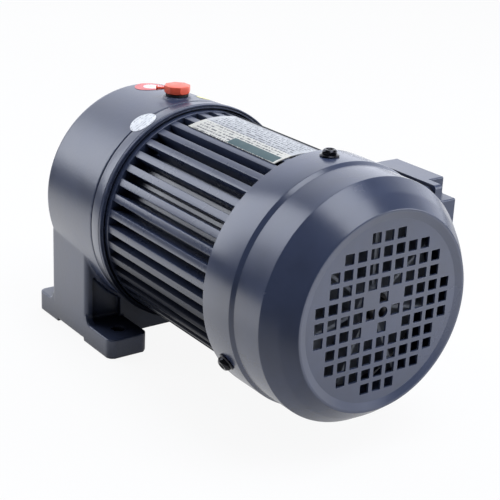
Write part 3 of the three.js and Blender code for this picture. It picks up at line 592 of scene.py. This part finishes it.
def adapter_flange():
    ring = lathe("adapter_flange_ring", rounded([
        (36, 15, 0.4), (36, 69.7, 0.6), (40.2, 69.7, 0), (40.2, 79.5, 0.35), (51.0, 80.5, 0.35),
        (51.5, 80.0, 0.1), (52.0, 80.5, 0.25), (53.5, 80.2, 0.3), (53.5, 79.2, 0.2), (52.8, 79.0, 0.1),
        (52.8, 78.5, 0.1), (53.3, 78.3, 0.15), (53.3, 77.4, 0.2), (50, 77.0, 0.4), (50, 34, 1),
        (53.5, 29.5, 0.5), (70, 29.5, 0.5), (70, 23.5, 0), (53.5, 23.5, 0), (53.5, 11, 0), (44, 11, 0),
        (44, 15, 0),
    ], 0.3, 4), 192)
    return finish_piece(ring, FLANGE_PAINT, "enamel", ROOT, "adapter_flange")


def seam_gasket():
    section = rounded([(39.4, 70.3), (39.4, 79.0), (40.1, 79.0), (40.1, 70.3)], 0.1, 2)
    ring = lathe("seam_gasket", section)
    return finish_piece(ring, GASKET, "gasket_paper", ROOT, "case_gasket")


# ---------------------------------------------------------------- fan cover


def vent_positions():
    """Centres of the square vents. The middle vent is round and its diagonal neighbours are solid."""
    outermost = len(VENT_ROWS) - 1
    for row in range(-outermost, outermost + 1):
        reach = VENT_ROWS[abs(row)]
        for column in range(-reach, reach + 1):
            if (row, column) == (0, 0) or (abs(row) == 1 and abs(column) == 1):
                continue
            yield column * VENT_PITCH, row * VENT_PITCH


def fan_cover():
    outer = [
        (255.9, 0, 0), (255.9, 59.2, 1.0), (257.6, 63.9, 0.7), (257.6, 65.4, 0.9), (248.9, 72.8, 30.0),
        (238.4, 80.0, 1.3), (213.8, 80.0, 0.8), (210.9, 81.8, 1.2), (183.2, 81.8, 0.25),
    ]
    inner = [
        (183.2, 80.4, 0.25), (210.4, 80.4, 1.0), (213.2, 78.6, 1.0), (237.8, 78.5, 1.0),
        (248.0, 71.2, 20.0), (255.6, 64.9, 0.6), (256.1, 63.4, 0.5), (254.4, 59.6, 0.8), (254.4, 0, 0),
    ]
    shell = lathe("fan_cover_shell", rounded(outer + inner, 0.3, 8, closed=False), 208)
    half = VENT_WIDTH / 2
    vents = [prism("vent", rectangle(y - half, z - half, y + half, z + half, 0.45, 2), "X", 253, 258)
             for y, z in vent_positions()]
    vents.append(rod("vent_round", "X", 253, 258, 3.6, (0, 0), 32))
    for angle in COVER_SCREW_ANGLES:
        hole = rod("screw_hole", "Z", 74, 84, 2.6, (COVER_SCREW_X, 0), 24)
        vents.append(turn_about_axis(hole, 90 - angle))
    cut(shell, combine("vents", vents))
    return finish_piece(shell, SHEET, "enamel", ROOT, "fan_cover", angle=38)


def cover_screw(index, angle):
    """Flange screw with a low domed hexagon head and a cross recess."""
    x = COVER_SCREW_X
    hexagon = prism("hexagon", circle(5.1, (x, 0), 6, math.radians(15)), "Z", 82.6, 86.4)
    dome = lathe_z("dome", rounded([
        (90, 0, 0), (90, 9, 0), (82, 9, 0), (82, 5.3, 0), (84.4, 5.1, 0.8), (86.2, 3.6, 0.9),
        (86.2, 2.6, 0.3), (85.7, 2.2, 0.3), (85.6, 0, 0),
    ], 0, 4, closed=False), (x, 0))
    cut(hexagon, dome)
    bars = [prism("bar", rectangle(x - across, -along, x + across, along), "Z", 83.6, 87)
            for across, along in ((0.5, 2.0), (2.0, 0.5))]
    cut(hexagon, *bars)
    bevel(hexagon, 0.3, 2)
    flange = lathe_z("flange", rounded([
        (81.9, 0, 0), (81.9, 6.2, 0.25), (82.6, 6.3, 0.35), (83.2, 5.2, 0.3), (83.2, 0, 0),
    ], 0.2, 3, closed=False), (x, 0))
    shank = lathe_z("shank", [(82.0, 0), (82.0, 2.0), (71.8, 2.0), (70.9, 1.4), (70.9, 0)], (x, 0), 24)
    screw = combine(f"cover_screw_{index}", [hexagon, flange, shank])
    turn_about_axis(screw, 90 - angle)
    return finish_piece(screw, GLOSS_BLACK, "black_oxide", ROOT, f"fan_cover_screw_{index}")


def cooling_fan():
    hub = lathe("hub", rounded([
        (226, 8.05, 0.3), (226, 60, 0.4), (228, 60, 0.4), (229, 15, 3), (247, 13, 0.8), (247, 8.05, 0.3),
    ], 0.3, 4), 96)
    blades = []
    for index in range(FAN_BLADES):
        outline = rounded([(11, 227.5), (11, 245), (52, 245), (59, 236), (59, 227.5)], 1.2, 3)
        blade = prism("blade", [(v, u) for u, v in outline], "Y", -1.0, 1.0)
        blades.append(turn_about_axis(blade, -index * 360 / FAN_BLADES))
    fan = combine("cooling_fan_wheel", [hub, *blades])
    return finish_piece(fan, FAN_PLASTIC, "fan_plastic", "rotor", "cooling_fan")


# ---------------------------------------------------------------- stator frame


def fin_outline():
    """The frame's section across the motor: round shell and 42 fins with rounded tips."""
    points = []
    root, shoulder, tip = 2.75, 2.55, 2.45
    for fin in range(FIN_COUNT):
        middle = math.radians(FIN_PHASE + fin * 360 / FIN_COUNT)
        offsets = [(FRAME_SHELL, -root - 0.9), (FRAME_SHELL + 0.9, -root), (FIN_TIP - 0.4, -shoulder),
                   (FIN_TIP - 0.07, -tip + 0.05), (FIN_TIP, -tip + 0.35)]
        offsets += [(r, -s) for r, s in reversed(offsets)]
        points += [(-r * math.cos(middle + s / r), r * math.sin(middle + s / r)) for r, s in offsets]
    return points


def stator_frame():
    body = prism("stator_frame", fin_outline(), "X", FIN_FRONT, FIN_REAR)
    front = rounded([(50, 60), (50, 76.3, 0.6), (57, 76.3, 0.6), (57, 60)], 0.3)
    rear = rounded([(182.8, 60), (182.8, 76.3, 0.5), (186, 76.3, 0.5), (186, 60)], 0.3)
    fuse(body, lathe("front", front), lathe("rear", rear))
    pockets = []
    for angle in FLANGE_SCREW_ANGLES:
        pockets.append(rod("pocket", "X", 56.6, 69.5, 5.4, polar(70.0, angle), 32))
    half_x, half_z = BOX_LENGTH / 2, BOX_HEIGHT / 2
    fuse(body, prism("pad", rectangle(BOX_X - half_x + 2, -half_z + 3, BOX_X + half_x - 2, half_z - 3, 5),
                     "Y", 60, BOX_SEAT))
    above = prism("above", rectangle(BOX_X - half_x - 0.5, -half_z - 2, BOX_X + half_x + 0.5, half_z + 2),
                  "Y", BOX_SEAT, 80)
    bore = rod("bore", "X", 49, 187, 61, (0, 0), 144)
    cut(body, bore, above, *pockets)
    wire = rod("wire", "Y", 50, 80, 9, (BOX_X, 0), 32)
    cut(body, wire)
    return finish_piece(body, FRAME_PAINT, "enamel", ROOT, "stator_housing", angle=30)


def cap_screw(name, node, axis, seat, radius, length):
    """Socket cap screw whose head stands on its seat and points along the axis."""
    head_radius, height = radius * 1.7, radius * 2
    profile = rounded([
        (height, 0, 0), (height, head_radius, 0.45), (0, head_radius, 0.2), (0, radius, 0),
        (-length + 0.8, radius, 0), (-length, radius * 0.7, 0), (-length, 0, 0),
    ], 0, 3, closed=False)
    body = lathe("body", profile, 40)
    cut(body, prism("socket", circle(radius * 0.95, (0, 0), 6), "X", height * 0.4, height + 1))
    move = Matrix.Translation((0, 0, -AXIS_Z * MM))
    body.data.transform(move)
    if axis == "Y":
        body.data.transform(Matrix.Rotation(math.radians(90), 4, "Z"))
    x, y, z = seat
    body.data.transform(Matrix.Translation((x * MM, y * MM, (z + AXIS_Z) * MM)))
    body.name = name
    return finish_piece(body, BLACK_OXIDE, "black_oxide", ROOT, node)


# ---------------------------------------------------------------- terminal box

LID_CORNERS = [(sx * (LID_LENGTH / 2 - 7), sz * 33.5) for sx, sz in ((-1, -1), (-1, 1), (1, -1), (1, 1))]


def box_rectangle(length, height, radius):
    return rectangle(BOX_X - length / 2, -height / 2, BOX_X + length / 2, height / 2, radius)


def raised_outline(inset, radius):
    """The lid's raised middle, with the two corners at the fan end notched away."""
    front, rear, notch = -31.1 + inset, 32.3 - inset, 18.8 - inset
    half, step = 40.0 - inset, 28.0 - inset
    corners = [(rear, -step), (rear, step), (notch, step), (notch, half), (front, half), (front, -half),
               (notch, -half), (notch, -step)]
    return rounded([(BOX_X + x, z) for x, z in corners], radius, 4)


def terminal_box():
    body = prism("terminal_box_body", box_rectangle(BOX_LENGTH, BOX_HEIGHT, 5), "Y", BOX_SEAT + 0.1, BOX_RIM)
    inside = box_rectangle(BOX_LENGTH - 8, BOX_HEIGHT - 8, 4)
    cut(body, prism("inside", inside, "Y", BOX_SEAT + 4, BOX_RIM + 1))
    cut(body, rod("entry", "Z", -40, -33, 8.2, (BOX_X, GLAND_Y)), rod("wires", "Y", 73, 79, 9, (BOX_X, 0)))
    bevel(body, 0.6, 3)
    return finish_piece(body, CASTING, "enamel", ROOT, "terminal_box", flat=True)


def lid_screw_holes():
    return [rod("hole", "Y", 110, 133, 2.4, (BOX_X + x, z), 24) for x, z in LID_CORNERS]


def terminal_lid():
    plate = prism("terminal_box_cover", box_rectangle(LID_LENGTH, LID_HEIGHT, 3), "Y", LID_BACK, LID_FLANGE)
    fuse(plate, prism("raised", raised_outline(0, 1.2), "Y", LID_FLANGE - 1, LID_TOP))
    cut(plate, prism("hollow", raised_outline(3.5, 1.0), "Y", 111, 128.5))
    front = LID_CORNERS[:2]
    fuse(plate, *[rod("boss", "Y", LID_BACK, LID_TOP - 1, 5.7, (BOX_X + x, z), 32) for x, z in front])
    cut(plate, *[rod("counterbore", "Y", LID_FLANGE, LID_TOP + 1, 4.4, (BOX_X + x, z), 32) for x, z in front])
    cut(plate, *lid_screw_holes())
    bevel(plate, 0.8, 3)
    return finish_piece(plate, CASTING, "enamel", ROOT, "terminal_box_lid", flat=True)


def lid_gasket():
    ring = prism("lid_gasket", box_rectangle(BOX_LENGTH, BOX_HEIGHT, 5), "Y", 111.05, 111.85)
    cut(ring, prism("opening", raised_outline(4.2, 1), "Y", 110, 113))
    cut(ring, *lid_screw_holes())
    return finish_piece(ring, RUBBER, "rubber", ROOT, "terminal_box_gasket")


def cable_gland():
    """Ribbed clamping nut over a hexagon and a thread, pointing down."""
    centre = (BOX_X, GLAND_Y)
    nut = lathe_z("nut", rounded([
        (-53, 4.5, 0.5), (-53, 8.5, 1), (-51, 11, 1), (-43.6, 11, 0.5), (-43.6, 4.5, 0),
    ], 0.3, 4), centre)
    grooves = [rod("groove", "Z", -52, -44.5, 0.9, place, 12) for place in circle(11.6, centre, 18)]
    cut(nut, combine("grooves", grooves))
    hexagon = prism("hexagon", circle(13, centre, 6), "Z", -43.8, -38.1)
    cut(hexagon, rod("bore", "Z", -45, -37, 4.5, centre, 32))
    bevel(hexagon, 0.7, 3)
    thread = lathe_z("thread", [(-40, 4.5), (-40, 8), (-29, 8), (-29, 4.5)], centre)
    gland = combine("cable_gland_body", [nut, hexagon, thread])
    return finish_piece(gland, GLAND_PLASTIC, "gland_plastic", ROOT, "cable_gland", flat=True)


# ---------------------------------------------------------------- breather, nameplate, labels


def breather():
    """Octagonal vent plug with a side stub, on its rubber washer."""
    x, base, height = BREATHER_X, 82.2, 5.6
    head = prism("head", circle(9.6, (x, 0), 8, math.radians(26)), "Z", base, base + height)
    taper = [(base - 1, 13), (base - 1, 7.6), (base + 1.3, 9.7), (base + 1.3, 13)]
    cut(head, lathe_z("taper", taper, (x, 0)))
    bevel(head, 0.45, 3)
    spout = rod("spout", "X", -14.4, -8.0, 0.95, (0, 0), 24)
    end = rounded([(-15.2, 0, 0), (-15.2, 1.9, 0.5), (-14, 1.9, 0.5), (-14, 0, 0)], 0, 3, closed=False)
    button = lathe("button", end, 24)
    stub = combine("stub", [spout, button])
    spin = Matrix.Translation((x * MM, 0, 0)) @ Matrix.Rotation(math.radians(53), 4, "Z")
    stub.data.transform(spin @ Matrix.Translation((0, 0, (base + height / 2) * MM)))
    stem = rod("stem", "Z", 67, base + 0.5, 5.8, (x, 0), 32)
    plug = combine("breather_plug_head", [head, stub, stem])
    finish_piece(plug, PLUG_PLASTIC, "orange_plug", ROOT, "breather_plug")
    washer = lathe_z("breather_seal", rounded([
        (80.1, 6, 0.2), (80.1, 8.2, 0.5), (82.1, 8.2, 0.5), (82.1, 6, 0.2),
    ], 0.3, 4), (x, 0))
    finish_piece(washer, RUBBER, "rubber", ROOT, "breather_washer")


def barrel_radius(x):
    """Radius of the drafted gearbox and adapter surface at a distance along the axis."""
    if x < 40:
        return 77.2 + (x + 33.5) * 2.4 / 72.8
    return 79.5 + (x - 40.2) / 10.8


def curved_sheet(name, thickness, outline):
    """A thin label wrapped on the gearbox. The outline lists (x, degrees) points."""
    verts, faces = [], []
    count = len(outline)
    centre_x = sum(p[0] for p in outline) / count
    centre_a = sum(p[1] for p in outline) / count
    rings = 14
    for layer in (0.05, thickness):
        for k in range(rings + 1):
            t = k / rings
            for x, a in outline:
                at = centre_x + (x - centre_x) * t
                y, z = polar(barrel_radius(at) + layer, centre_a + (a - centre_a) * t)
                verts.append((at, y, z))
    per = (rings + 1) * count
    for k in range(rings):
        for i in range(count):
            j = (i + 1) % count
            a, b = k * count + i, k * count + j
            c, d = b + count, a + count
            faces.append((a, b, c, d))
            faces.append((per + a, per + d, per + c, per + b))
    last = rings * count
    for i in range(count):
        j = (i + 1) % count
        faces.append((last + i, last + j, per + last + j, per + last + i))
    return from_faces(name, verts, faces)


def grid_plate():
    """The nameplate: a thin sheet rolled to the fin tips, as a fine grid so that it stays round."""
    columns = [PLATE_FRONT + PLATE_LENGTH * k / 40 for k in range(41)]
    rows = [PLATE_ANGLE + k for k in range(PLATE_ARC + 1)]
    verts, faces = [], []
    for layer in (FIN_TIP + 0.1, FIN_TIP + 0.65):
        for a in rows:
            for x in columns:
                verts.append((x, *polar(layer, a)))
    width, per = len(columns), len(columns) * len(rows)
    for i in range(len(rows) - 1):
        for j in range(width - 1):
            a = i * width + j
            b, c, d = a + 1, a + width + 1, a + width
            faces += [(a, d, c, b), (per + a, per + b, per + c, per + d)]
    rim = [j for j in range(width)] + [i * width + width - 1 for i in range(1, len(rows))]
    rim += [per - 1 - j for j in range(1, width)] + [i * width for i in range(len(rows) - 2, 0, -1)]
    for i, a in enumerate(rim):
        b = rim[(i + 1) % len(rim)]
        faces.append((a, b, per + b, per + a))
    return from_faces("rating_plate", verts, faces)


def plate_material():
    """Bare plate with a ruled table, short unreadable dashes and a plain green band."""
    n = Nodes("printed_plate")
    x = n.math("MULTIPLY", n.axis("X"), 1000)
    y = n.math("MULTIPLY", n.axis("Y"), 1000)

    def stripe(value, pitch, width):
        wrapped = n.math("FRACT", n.math("DIVIDE", value, pitch))
        return n.math("LESS_THAN", wrapped, width)

    def between(value, low, high):
        return n.math("MULTIPLY", n.math("GREATER_THAN", value, low), n.math("LESS_THAN", value, high))

    base = n.mix(n.ramp(n.noise(30, 3), 0.35, 0.65), srgb(152, 155, 158), srgb(172, 174, 175))
    tinted = n.mix(n.math("MULTIPLY", n.math("LESS_THAN", y, -9), 0.25), base, srgb(236, 228, 196))
    dashes = n.noise(1.0, 0, 0.5, n.stretched((700, 260, 0)))
    ink = n.math("MULTIPLY", n.math("GREATER_THAN", dashes, 0.47), stripe(y, 2.9, 0.5))
    table = between(x, 78, 166)
    ink = n.math("MULTIPLY", n.math("MULTIPLY", ink, table), 0.85)
    printed = n.mix(ink, tinted, srgb(48, 52, 62))
    rules = n.math("MAXIMUM", stripe(y, 6.8, 0.05), stripe(x, 22.0, 0.018))
    ruled = n.mix(n.math("MULTIPLY", n.math("MULTIPLY", rules, table), 0.6), printed, srgb(90, 94, 102))
    band = n.math("MULTIPLY", between(x, 118, 168.5), between(y, -22.6, -15.3))
    banded = n.mix(band, ruled, srgb(30, 66, 70))
    n.set(base_color=banded, roughness=n.ramp(n.noise(120), 0.3, 0.7, 0.44, 0.56), metallic=0.12)
    n.bump(n.noise(90, 2), 0.00004)
    return n.material


def sticker_material(name, ring=None, centre=(0, 0), inner=0.0):
    """White label film with faint unreadable print, or a coloured ring round a white middle."""
    n = Nodes(name)
    base = n.mix(n.ramp(n.noise(200), 0.4, 0.6), srgb(200, 203, 206), srgb(216, 218, 220))
    dashes = n.noise(1.0, 0, 0.5, n.stretched((1100, 500, 500)))
    x = n.axis("X")
    rows = n.math("LESS_THAN", n.math("FRACT", n.math("MULTIPLY", x, 1000 / 3.2)), 0.34)
    ink = n.math("MULTIPLY", n.math("GREATER_THAN", dashes, 0.56), rows)
    color = n.mix(n.math("MULTIPLY", ink, 0.6), base, srgb(70, 74, 84))
    if ring:
        dx = n.math("SUBTRACT", x, centre[0] * MM)
        dy = n.math("SUBTRACT", n.axis("Y"), centre[1] * MM)
        away = n.math("SQRT", n.math("ADD", n.math("MULTIPLY", dx, dx), n.math("MULTIPLY", dy, dy)))
        color = n.mix(n.math("GREATER_THAN", away, inner * MM), color, srgb(*ring))
    n.set(base_color=color, roughness=n.ramp(n.noise(60), 0.3, 0.7, 0.34, 0.5))
    n.bump(n.noise(300, 2), 0.00003)
    return n.material


def round_label(name, centre_x, centre_angle, half_x, half_arc, material):
    outline = []
    radius = barrel_radius(centre_x)
    for k in range(56):
        a = 2 * math.pi * k / 56
        degrees = centre_angle + math.degrees(half_arc * math.sin(a) / radius)
        outline.append((centre_x + half_x * math.cos(a), degrees))
    label = curved_sheet(name, 0.22, outline)
    return finish_piece(label, material, "plate", ROOT, angle=40)


# ---------------------------------------------------------------- shaft end


def output_shaft():
    body = lathe("output_shaft_finished", rounded([
        (-98, 0, 0), (-98, 14, 1.0), (-52, 14, 0.5), (-52, 15, 0.3), (-31, 15, 0.2), (-31, 12.5, 0.2),
        (-14, 12.5, 0), (-14, 12, 0), (18.6, 12, 0), (18.6, 11.2, 0), (19.8, 11.2, 0), (19.8, 12, 0),
        (20.2, 12, 0.2), (20.2, 0, 0),
    ], 0.2, 4, closed=False), 96)
    slot = prism("slot", rectangle(-93.05, -4.05, -60.95, 4.05, 4.04, 12), "Z", 9.95, 16)
    drilled = [(-99, 0), (-99, 6.5), (-98, 5.5), (-96, 4.2), (-76, 4.2), (-74, 0)]
    centre_hole = lathe("centre_hole", drilled, 40)
    cut(body, slot, centre_hole)
    finish_piece(body, SHAFT_STEEL, "shaft", "output", "output_shaft")
    key = prism("shaft_key", rectangle(-93, -4, -61, 4, 3.98, 12), "Z", 10, 17)
    bevel(key, 0.35, 2)
    finish_piece(key, STEEL, "steel", "output", "output_key")
    seal = lathe("shaft_seal", rounded([
        (-55.5, 15.5, 0.2), (-55.5, 17, 0.4), (-53.8, 19, 0.6), (-53.8, 26, 0.6), (-55.5, 27.5, 0.5),
        (-55.5, 30.95, 0.5), (-48.5, 30.95, 0.5), (-48.5, 15.5, 0.3),
    ], 0.3, 4), 96)
    finish_piece(seal, RUBBER, "rubber", ROOT, "output_oil_seal")


# ---------------------------------------------------------------- build

gear_housing()
adapter_flange()
seam_gasket()
fan_cover()
cooling_fan()
for number, screw_angle in enumerate(COVER_SCREW_ANGLES, start=1):
    cover_screw(number, screw_angle)
stator_frame()
for number, screw_angle in enumerate(FLANGE_SCREW_ANGLES, start=1):
    y, z = polar(FLANGE_SCREW_CIRCLE, screw_angle)
    cap_screw(f"flange_cap_screw_{number}", f"motor_screw_{number}", "X", (57.1, y, z), 2.5, 13)
terminal_box()
lid_gasket()
terminal_lid()
for number, (dx, dz) in enumerate(LID_CORNERS, start=1):
    seat = (BOX_X + dx, LID_FLANGE + 0.1, dz)
    cap_screw(f"box_cap_screw_{number}", f"lid_screw_{number}", "Y", seat, 2.0, 17)
cable_gland()
breather()
plate = grid_plate()
finish_piece(plate, plate_material(), "plate", ROOT, "nameplate", angle=40)
round_label("oval_label", 40.0, 60.7, 10.0, 10.0, sticker_material("oval_label_film"))
round_label("ring_label", -16.5, 92.0, 12.0, 13.0,
            sticker_material("ring_label_film", (196, 70, 70), (-15.5, 3.0), 7.2))
round_label("strip_label", 23.5, 106.0, 6.0, 4.5, moulded("strip_film", (232, 226, 150), 0.45))
output_shaft()

INSIDE = {
    STEEL: ["output_gear", "countershaft", "first_stage_gear"],
    SHADE_DARKENED_STEEL: ["rotor_shaft", "fan_circlip"],
    BLACK_OXIDE: ["output_gear_circlip"],
    LAMINATION: ["stator_core", "rotor_core"],
    COPPER: ["front_end_winding", "rear_end_winding"],
    RUBBER: ["rotor_oil_seal"],
    CASTING: ["rear_end_shield"],
    BOARD: ["terminal_board"],
}
for material, names in INSIDE.items():
    for node in names:
        shade(dress(frame["nodes"][node], material), 40)
for node, obj in frame["nodes"].items():
    if node.endswith("_ring"):
        shade(dress(obj, STEEL), 40)
    elif node.startswith(("case_screw", "shield_screw")):
        shade(dress(obj, BLACK_OXIDE), 50)

# ---------------------------------------------------------------- stage, light and camera

# Metres and degrees; the lights aim at the middle of the machine
MIDDLE = (0.075, 0.0, 0.09)
CAMERA_PLACE = (0.76462, -0.48013, 0.40006)
CAMERA_AZIMUTH, CAMERA_ELEVATION, CAMERA_ROLL = 53.36, 20.90, 2.81
LENS = 90.57

# Lit patches of the floor, seen only in reflections: x, y, reach and radiance
FLOOR_GLOW = [
    (-0.12, -0.36, 0.50, 2.8),
    (0.58, 0.20, 0.42, 2.9),
    (0.27, -0.05, 0.22, 0.65),
    (-0.75, 0.85, 1.0, 2.3),
]

# Aim, full and fading angles in degrees, radiance: backdrop and dim room
WORLD_LOBES = [
    ((-0.75, 0.62, 0.15), 30, 62, 1.9),
    ((0.0, 0.0, 1.0), 60, 180, 0.16),
]


def stage():
    """A pale floor: white with a light contact shadow to the camera, dim to bounced light."""
    mesh = bpy.data.meshes.new("floor")
    size = 6.0
    corners = [(-size, -size, 0), (size, -size, 0), (size, size, 0), (-size, size, 0)]
    mesh.from_pydata(corners, [], [(0, 1, 2, 3)])
    floor = add_object("floor", mesh)
    n = Nodes("pale_floor")
    n.set(base_color=n.mix(n.noise(3), (0.50, 0.51, 0.53), (0.55, 0.56, 0.57)), roughness=0.9)
    path = n.tree.nodes.new("ShaderNodeLightPath").outputs
    reflected = None
    for x, y, reach, radiance in FLOOR_GLOW:
        dx, dy = n.math("SUBTRACT", n.axis("X"), x), n.math("SUBTRACT", n.axis("Y"), y)
        away = n.math("SQRT", n.math("ADD", n.math("MULTIPLY", dx, dx), n.math("MULTIPLY", dy, dy)))
        patch = n.math("MAXIMUM", n.ramp(away, reach * 0.35, reach, radiance, 0.0), 0.0)
        reflected = patch if reflected is None else n.math("ADD", reflected, patch)

    def blend(factor, base, strength):
        glow = n.tree.nodes.new("ShaderNodeEmission")
        n.feed(glow.inputs["Strength"], strength)
        mixer = n.tree.nodes.new("ShaderNodeMixShader")
        n.feed(mixer.inputs[0], factor)
        n.link(base, mixer.inputs[1])
        n.link(glow.outputs[0], mixer.inputs[2])
        return mixer.outputs[0]

    shiny = blend(n.math("MULTIPLY", path["Is Glossy Ray"], 0.75), n.shader.outputs[0], reflected)
    n.link(blend(n.math("MULTIPLY", path["Is Camera Ray"], 0.9), shiny, 1.02), n.out.inputs[0])
    floor.data.materials.append(n.material)


def softbox(name, direction, distance, size, radiance):
    """A rectangular light aimed at the machine, given by the brightness of its face."""
    data = bpy.data.lights.new(name, "AREA")
    data.shape = "RECTANGLE"
    data.size, data.size_y = size
    data.energy = radiance * math.pi * size[0] * size[1]
    data.color = (0.92, 0.96, 1.06)
    light = add_object(name, data)
    away = Vector(direction).normalized()
    light.location = Vector(MIDDLE) + away * distance
    light.rotation_mode = "QUATERNION"
    light.rotation_quaternion = (-away).to_track_quat("-Z", "Y")


def camera():
    data = bpy.data.cameras.new("camera")
    data.lens = LENS
    data.sensor_width = 36
    data.clip_start, data.clip_end = 0.01, 50
    cam = add_object("camera", data)
    azimuth, elevation = math.radians(CAMERA_AZIMUTH), math.radians(CAMERA_ELEVATION)
    forward = Vector((-math.sin(azimuth) * math.cos(elevation), math.cos(azimuth) * math.cos(elevation),
                      -math.sin(elevation)))
    cam.rotation_mode = "QUATERNION"
    cam.rotation_quaternion = forward.to_track_quat("-Z", "Y") @ Matrix.Rotation(
        math.radians(CAMERA_ROLL), 3, "Z").to_quaternion()
    cam.location = CAMERA_PLACE
    bpy.context.scene.camera = cam


def world():
    """White to the camera; for light and reflections a dim room with a bright backdrop."""
    scene_world = bpy.data.worlds.new("studio")
    bpy.context.scene.world = scene_world
    scene_world.use_nodes = True
    tree = scene_world.node_tree
    tree.nodes.clear()

    def node(kind, **inputs):
        made = tree.nodes.new(kind)
        for key, value in inputs.items():
            made.inputs[key].default_value = value
        return made

    direction = node("ShaderNodeTexCoord").outputs["Generated"]
    total = None
    for aim, inner, outer, radiance in WORLD_LOBES:
        dot = node("ShaderNodeVectorMath")
        dot.operation = "DOT_PRODUCT"
        tree.links.new(direction, dot.inputs[0])
        dot.inputs[1].default_value = Vector(aim).normalized()
        fade = node("ShaderNodeMapRange")
        fade.interpolation_type = "SMOOTHSTEP"
        tree.links.new(dot.outputs["Value"], fade.inputs["Value"])
        fade.inputs["From Min"].default_value = math.cos(math.radians(outer))
        fade.inputs["From Max"].default_value = math.cos(math.radians(inner))
        fade.inputs["To Max"].default_value = radiance
        if total is None:
            total = fade.outputs[0]
            continue
        add = node("ShaderNodeMath")
        add.operation = "ADD"
        tree.links.new(total, add.inputs[0])
        tree.links.new(fade.outputs[0], add.inputs[1])
        total = add.outputs[0]
    room = node("ShaderNodeBackground", Color=(0.93, 0.96, 1.04, 1.0))
    tree.links.new(total, room.inputs["Strength"])
    white = node("ShaderNodeBackground", Color=(1, 1, 1, 1), Strength=1.0)
    path, mixer, out = node("ShaderNodeLightPath"), node("ShaderNodeMixShader"), node("ShaderNodeOutputWorld")
    tree.links.new(path.outputs["Is Camera Ray"], mixer.inputs[0])
    tree.links.new(room.outputs[0], mixer.inputs[1])
    tree.links.new(white.outputs[0], mixer.inputs[2])
    tree.links.new(mixer.outputs[0], out.inputs["Surface"])


stage()
world()
softbox("right_box", (0.60, 0.75, 0.30), 1.6, (1.1, 1.0), 5.0)
softbox("left_strip", (-0.77, -0.42, 0.455), 3.0, (1.3, 2.6), 5.0)
softbox("top_box", (0.31, 0.09, 0.94), 2.0, (1.1, 1.6), 6.4)
camera()
bpy.context.scene.view_settings.view_transform = "Standard"
